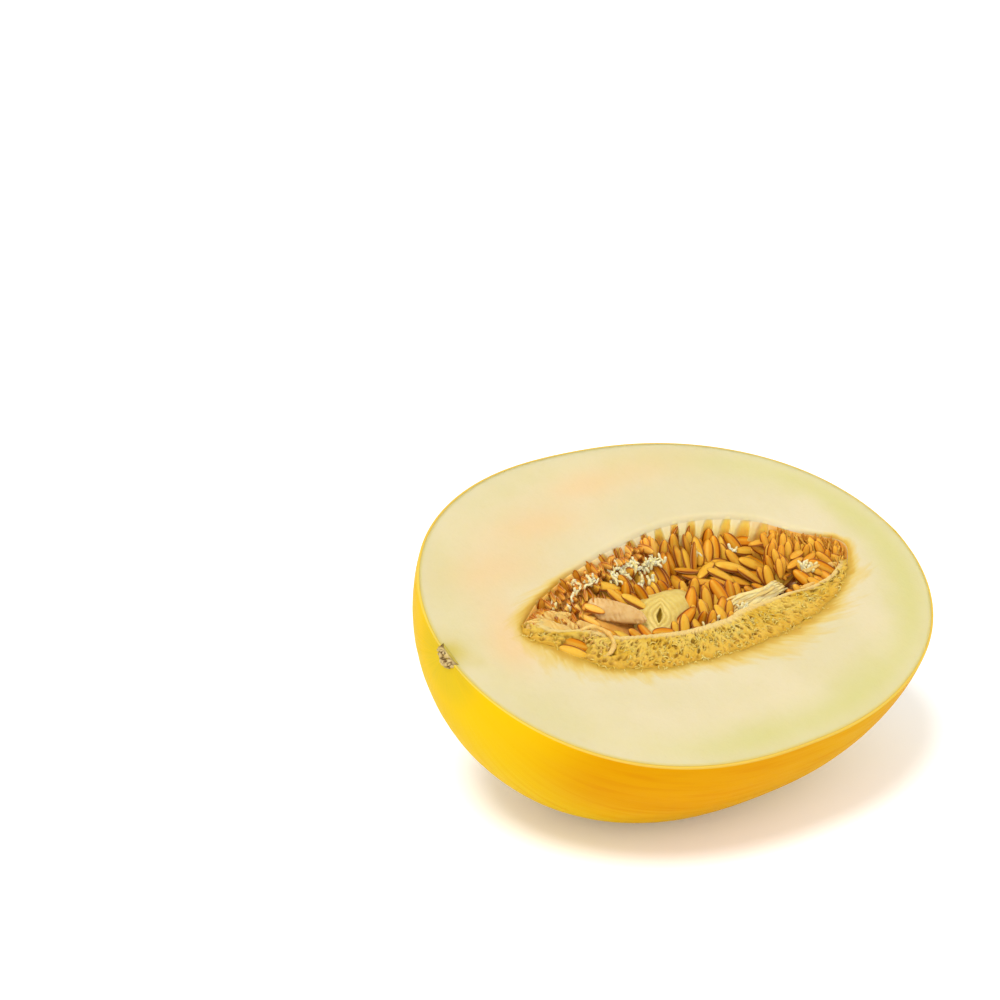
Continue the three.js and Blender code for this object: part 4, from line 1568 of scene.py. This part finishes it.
def scar_material():
    """Dry cork, spotted brown, with dark cracks and a yellow edge."""
    n = Nodes("dry_cork")
    spots = n.noise(n.position(), 900.0, 4.0, 0.65)
    patches = n.noise(n.position(), 350.0, 2.0)
    colour = n.wash(srgb(222, 190, 116), (244, 214, 150), patches, 0.35, 0.65)
    colour = n.wash(colour, (160, 110, 56), spots, 0.5, 0.7, 0.8)
    colour = n.wash(colour, (232, 206, 84), n.attribute("height"), -1.8, -0.6)
    colour = n.stain(colour, (104, 62, 14), n.attribute("crack"))
    return n.surface(
        Base_Color=colour, Roughness=0.85, Normal=n.bump(spots, 0.5, 0.0005),
        Specular_IOR_Level=0.2)


def floor_material():
    """Pale matt floor that glows a little."""
    n = Nodes("pale_floor")
    grain = n.noise(n.position(), 3.0, 2.0)
    colour = n.mix(grain, (0.93, 0.93, 0.93, 1), (0.95, 0.95, 0.95, 1))
    return n.surface(
        Base_Color=colour, Roughness=0.9, Specular_IOR_Level=0.1, Emission_Strength=FLOOR_GLOW)


# --- Stage --------------------------------------------------------------------------------------

def make_camera():
    """The reference view."""
    right, up, back = (Vector(axis) for axis in camera_axes())
    offset = CAMERA_RIGHT * right + CAMERA_UP * up + CAMERA_DISTANCE * back
    data = bpy.data.cameras.new("camera")
    data.lens = LENS_RATIO * data.sensor_width
    camera = bpy.data.objects.new("camera", data)
    camera.matrix_world = Matrix((right, up, back)).transposed().to_4x4()
    camera.location = Vector(FACE_MIDDLE) + offset * METRES
    bpy.context.scene.collection.objects.link(camera)
    bpy.context.scene.camera = camera


def make_sun(name, strength, width, direction, casts_shadows):
    """Soft light from far off, its width in degrees."""
    data = bpy.data.lights.new(name, "SUN")
    data.energy = strength
    data.angle = math.radians(width)
    data.use_shadow = casts_shadows
    light = bpy.data.objects.new(name, data)
    light.rotation_euler = Vector(direction).to_track_quat("-Z", "Y").to_euler()
    bpy.context.scene.collection.objects.link(light)


def make_stage():
    """Floor, even sky and lights."""
    mesh = bpy.data.meshes.new("floor")
    mesh.from_pydata([(-20, -20, 0), (20, -20, 0), (20, 20, 0), (-20, 20, 0)], [], [(0, 1, 2, 3)])
    floor = bpy.data.objects.new("floor", mesh)
    bpy.context.scene.collection.objects.link(floor)
    floor.data.materials.append(floor_material())
    world = bpy.data.worlds.new("studio")
    world.use_nodes = True
    sky = world.node_tree.nodes["Background"]
    sky.inputs["Color"].default_value = (1, 1, 1, 1)
    sky.inputs["Strength"].default_value = SKY_STRENGTH
    bpy.context.scene.world = world
    for sun in SUNS:
        make_sun(*sun)
    bpy.context.scene.view_settings.view_transform = "Standard"


make_camera()
make_stage()
make_rind()
make_flesh()
make_pulp()
make_band_fibres()
make_ring_lobe()
make_leaves("pulp_flap", "pink_flap")
make_leaves("pulp_membranes", "golden_membrane")
make_curls()
make_strands()
make_threads()
make_end_fibres()
make_cad_seeds()
make_core_seeds()
make_wall_seeds()
make_rim_seeds()
make_filler_seeds()
make_stalk_scar()
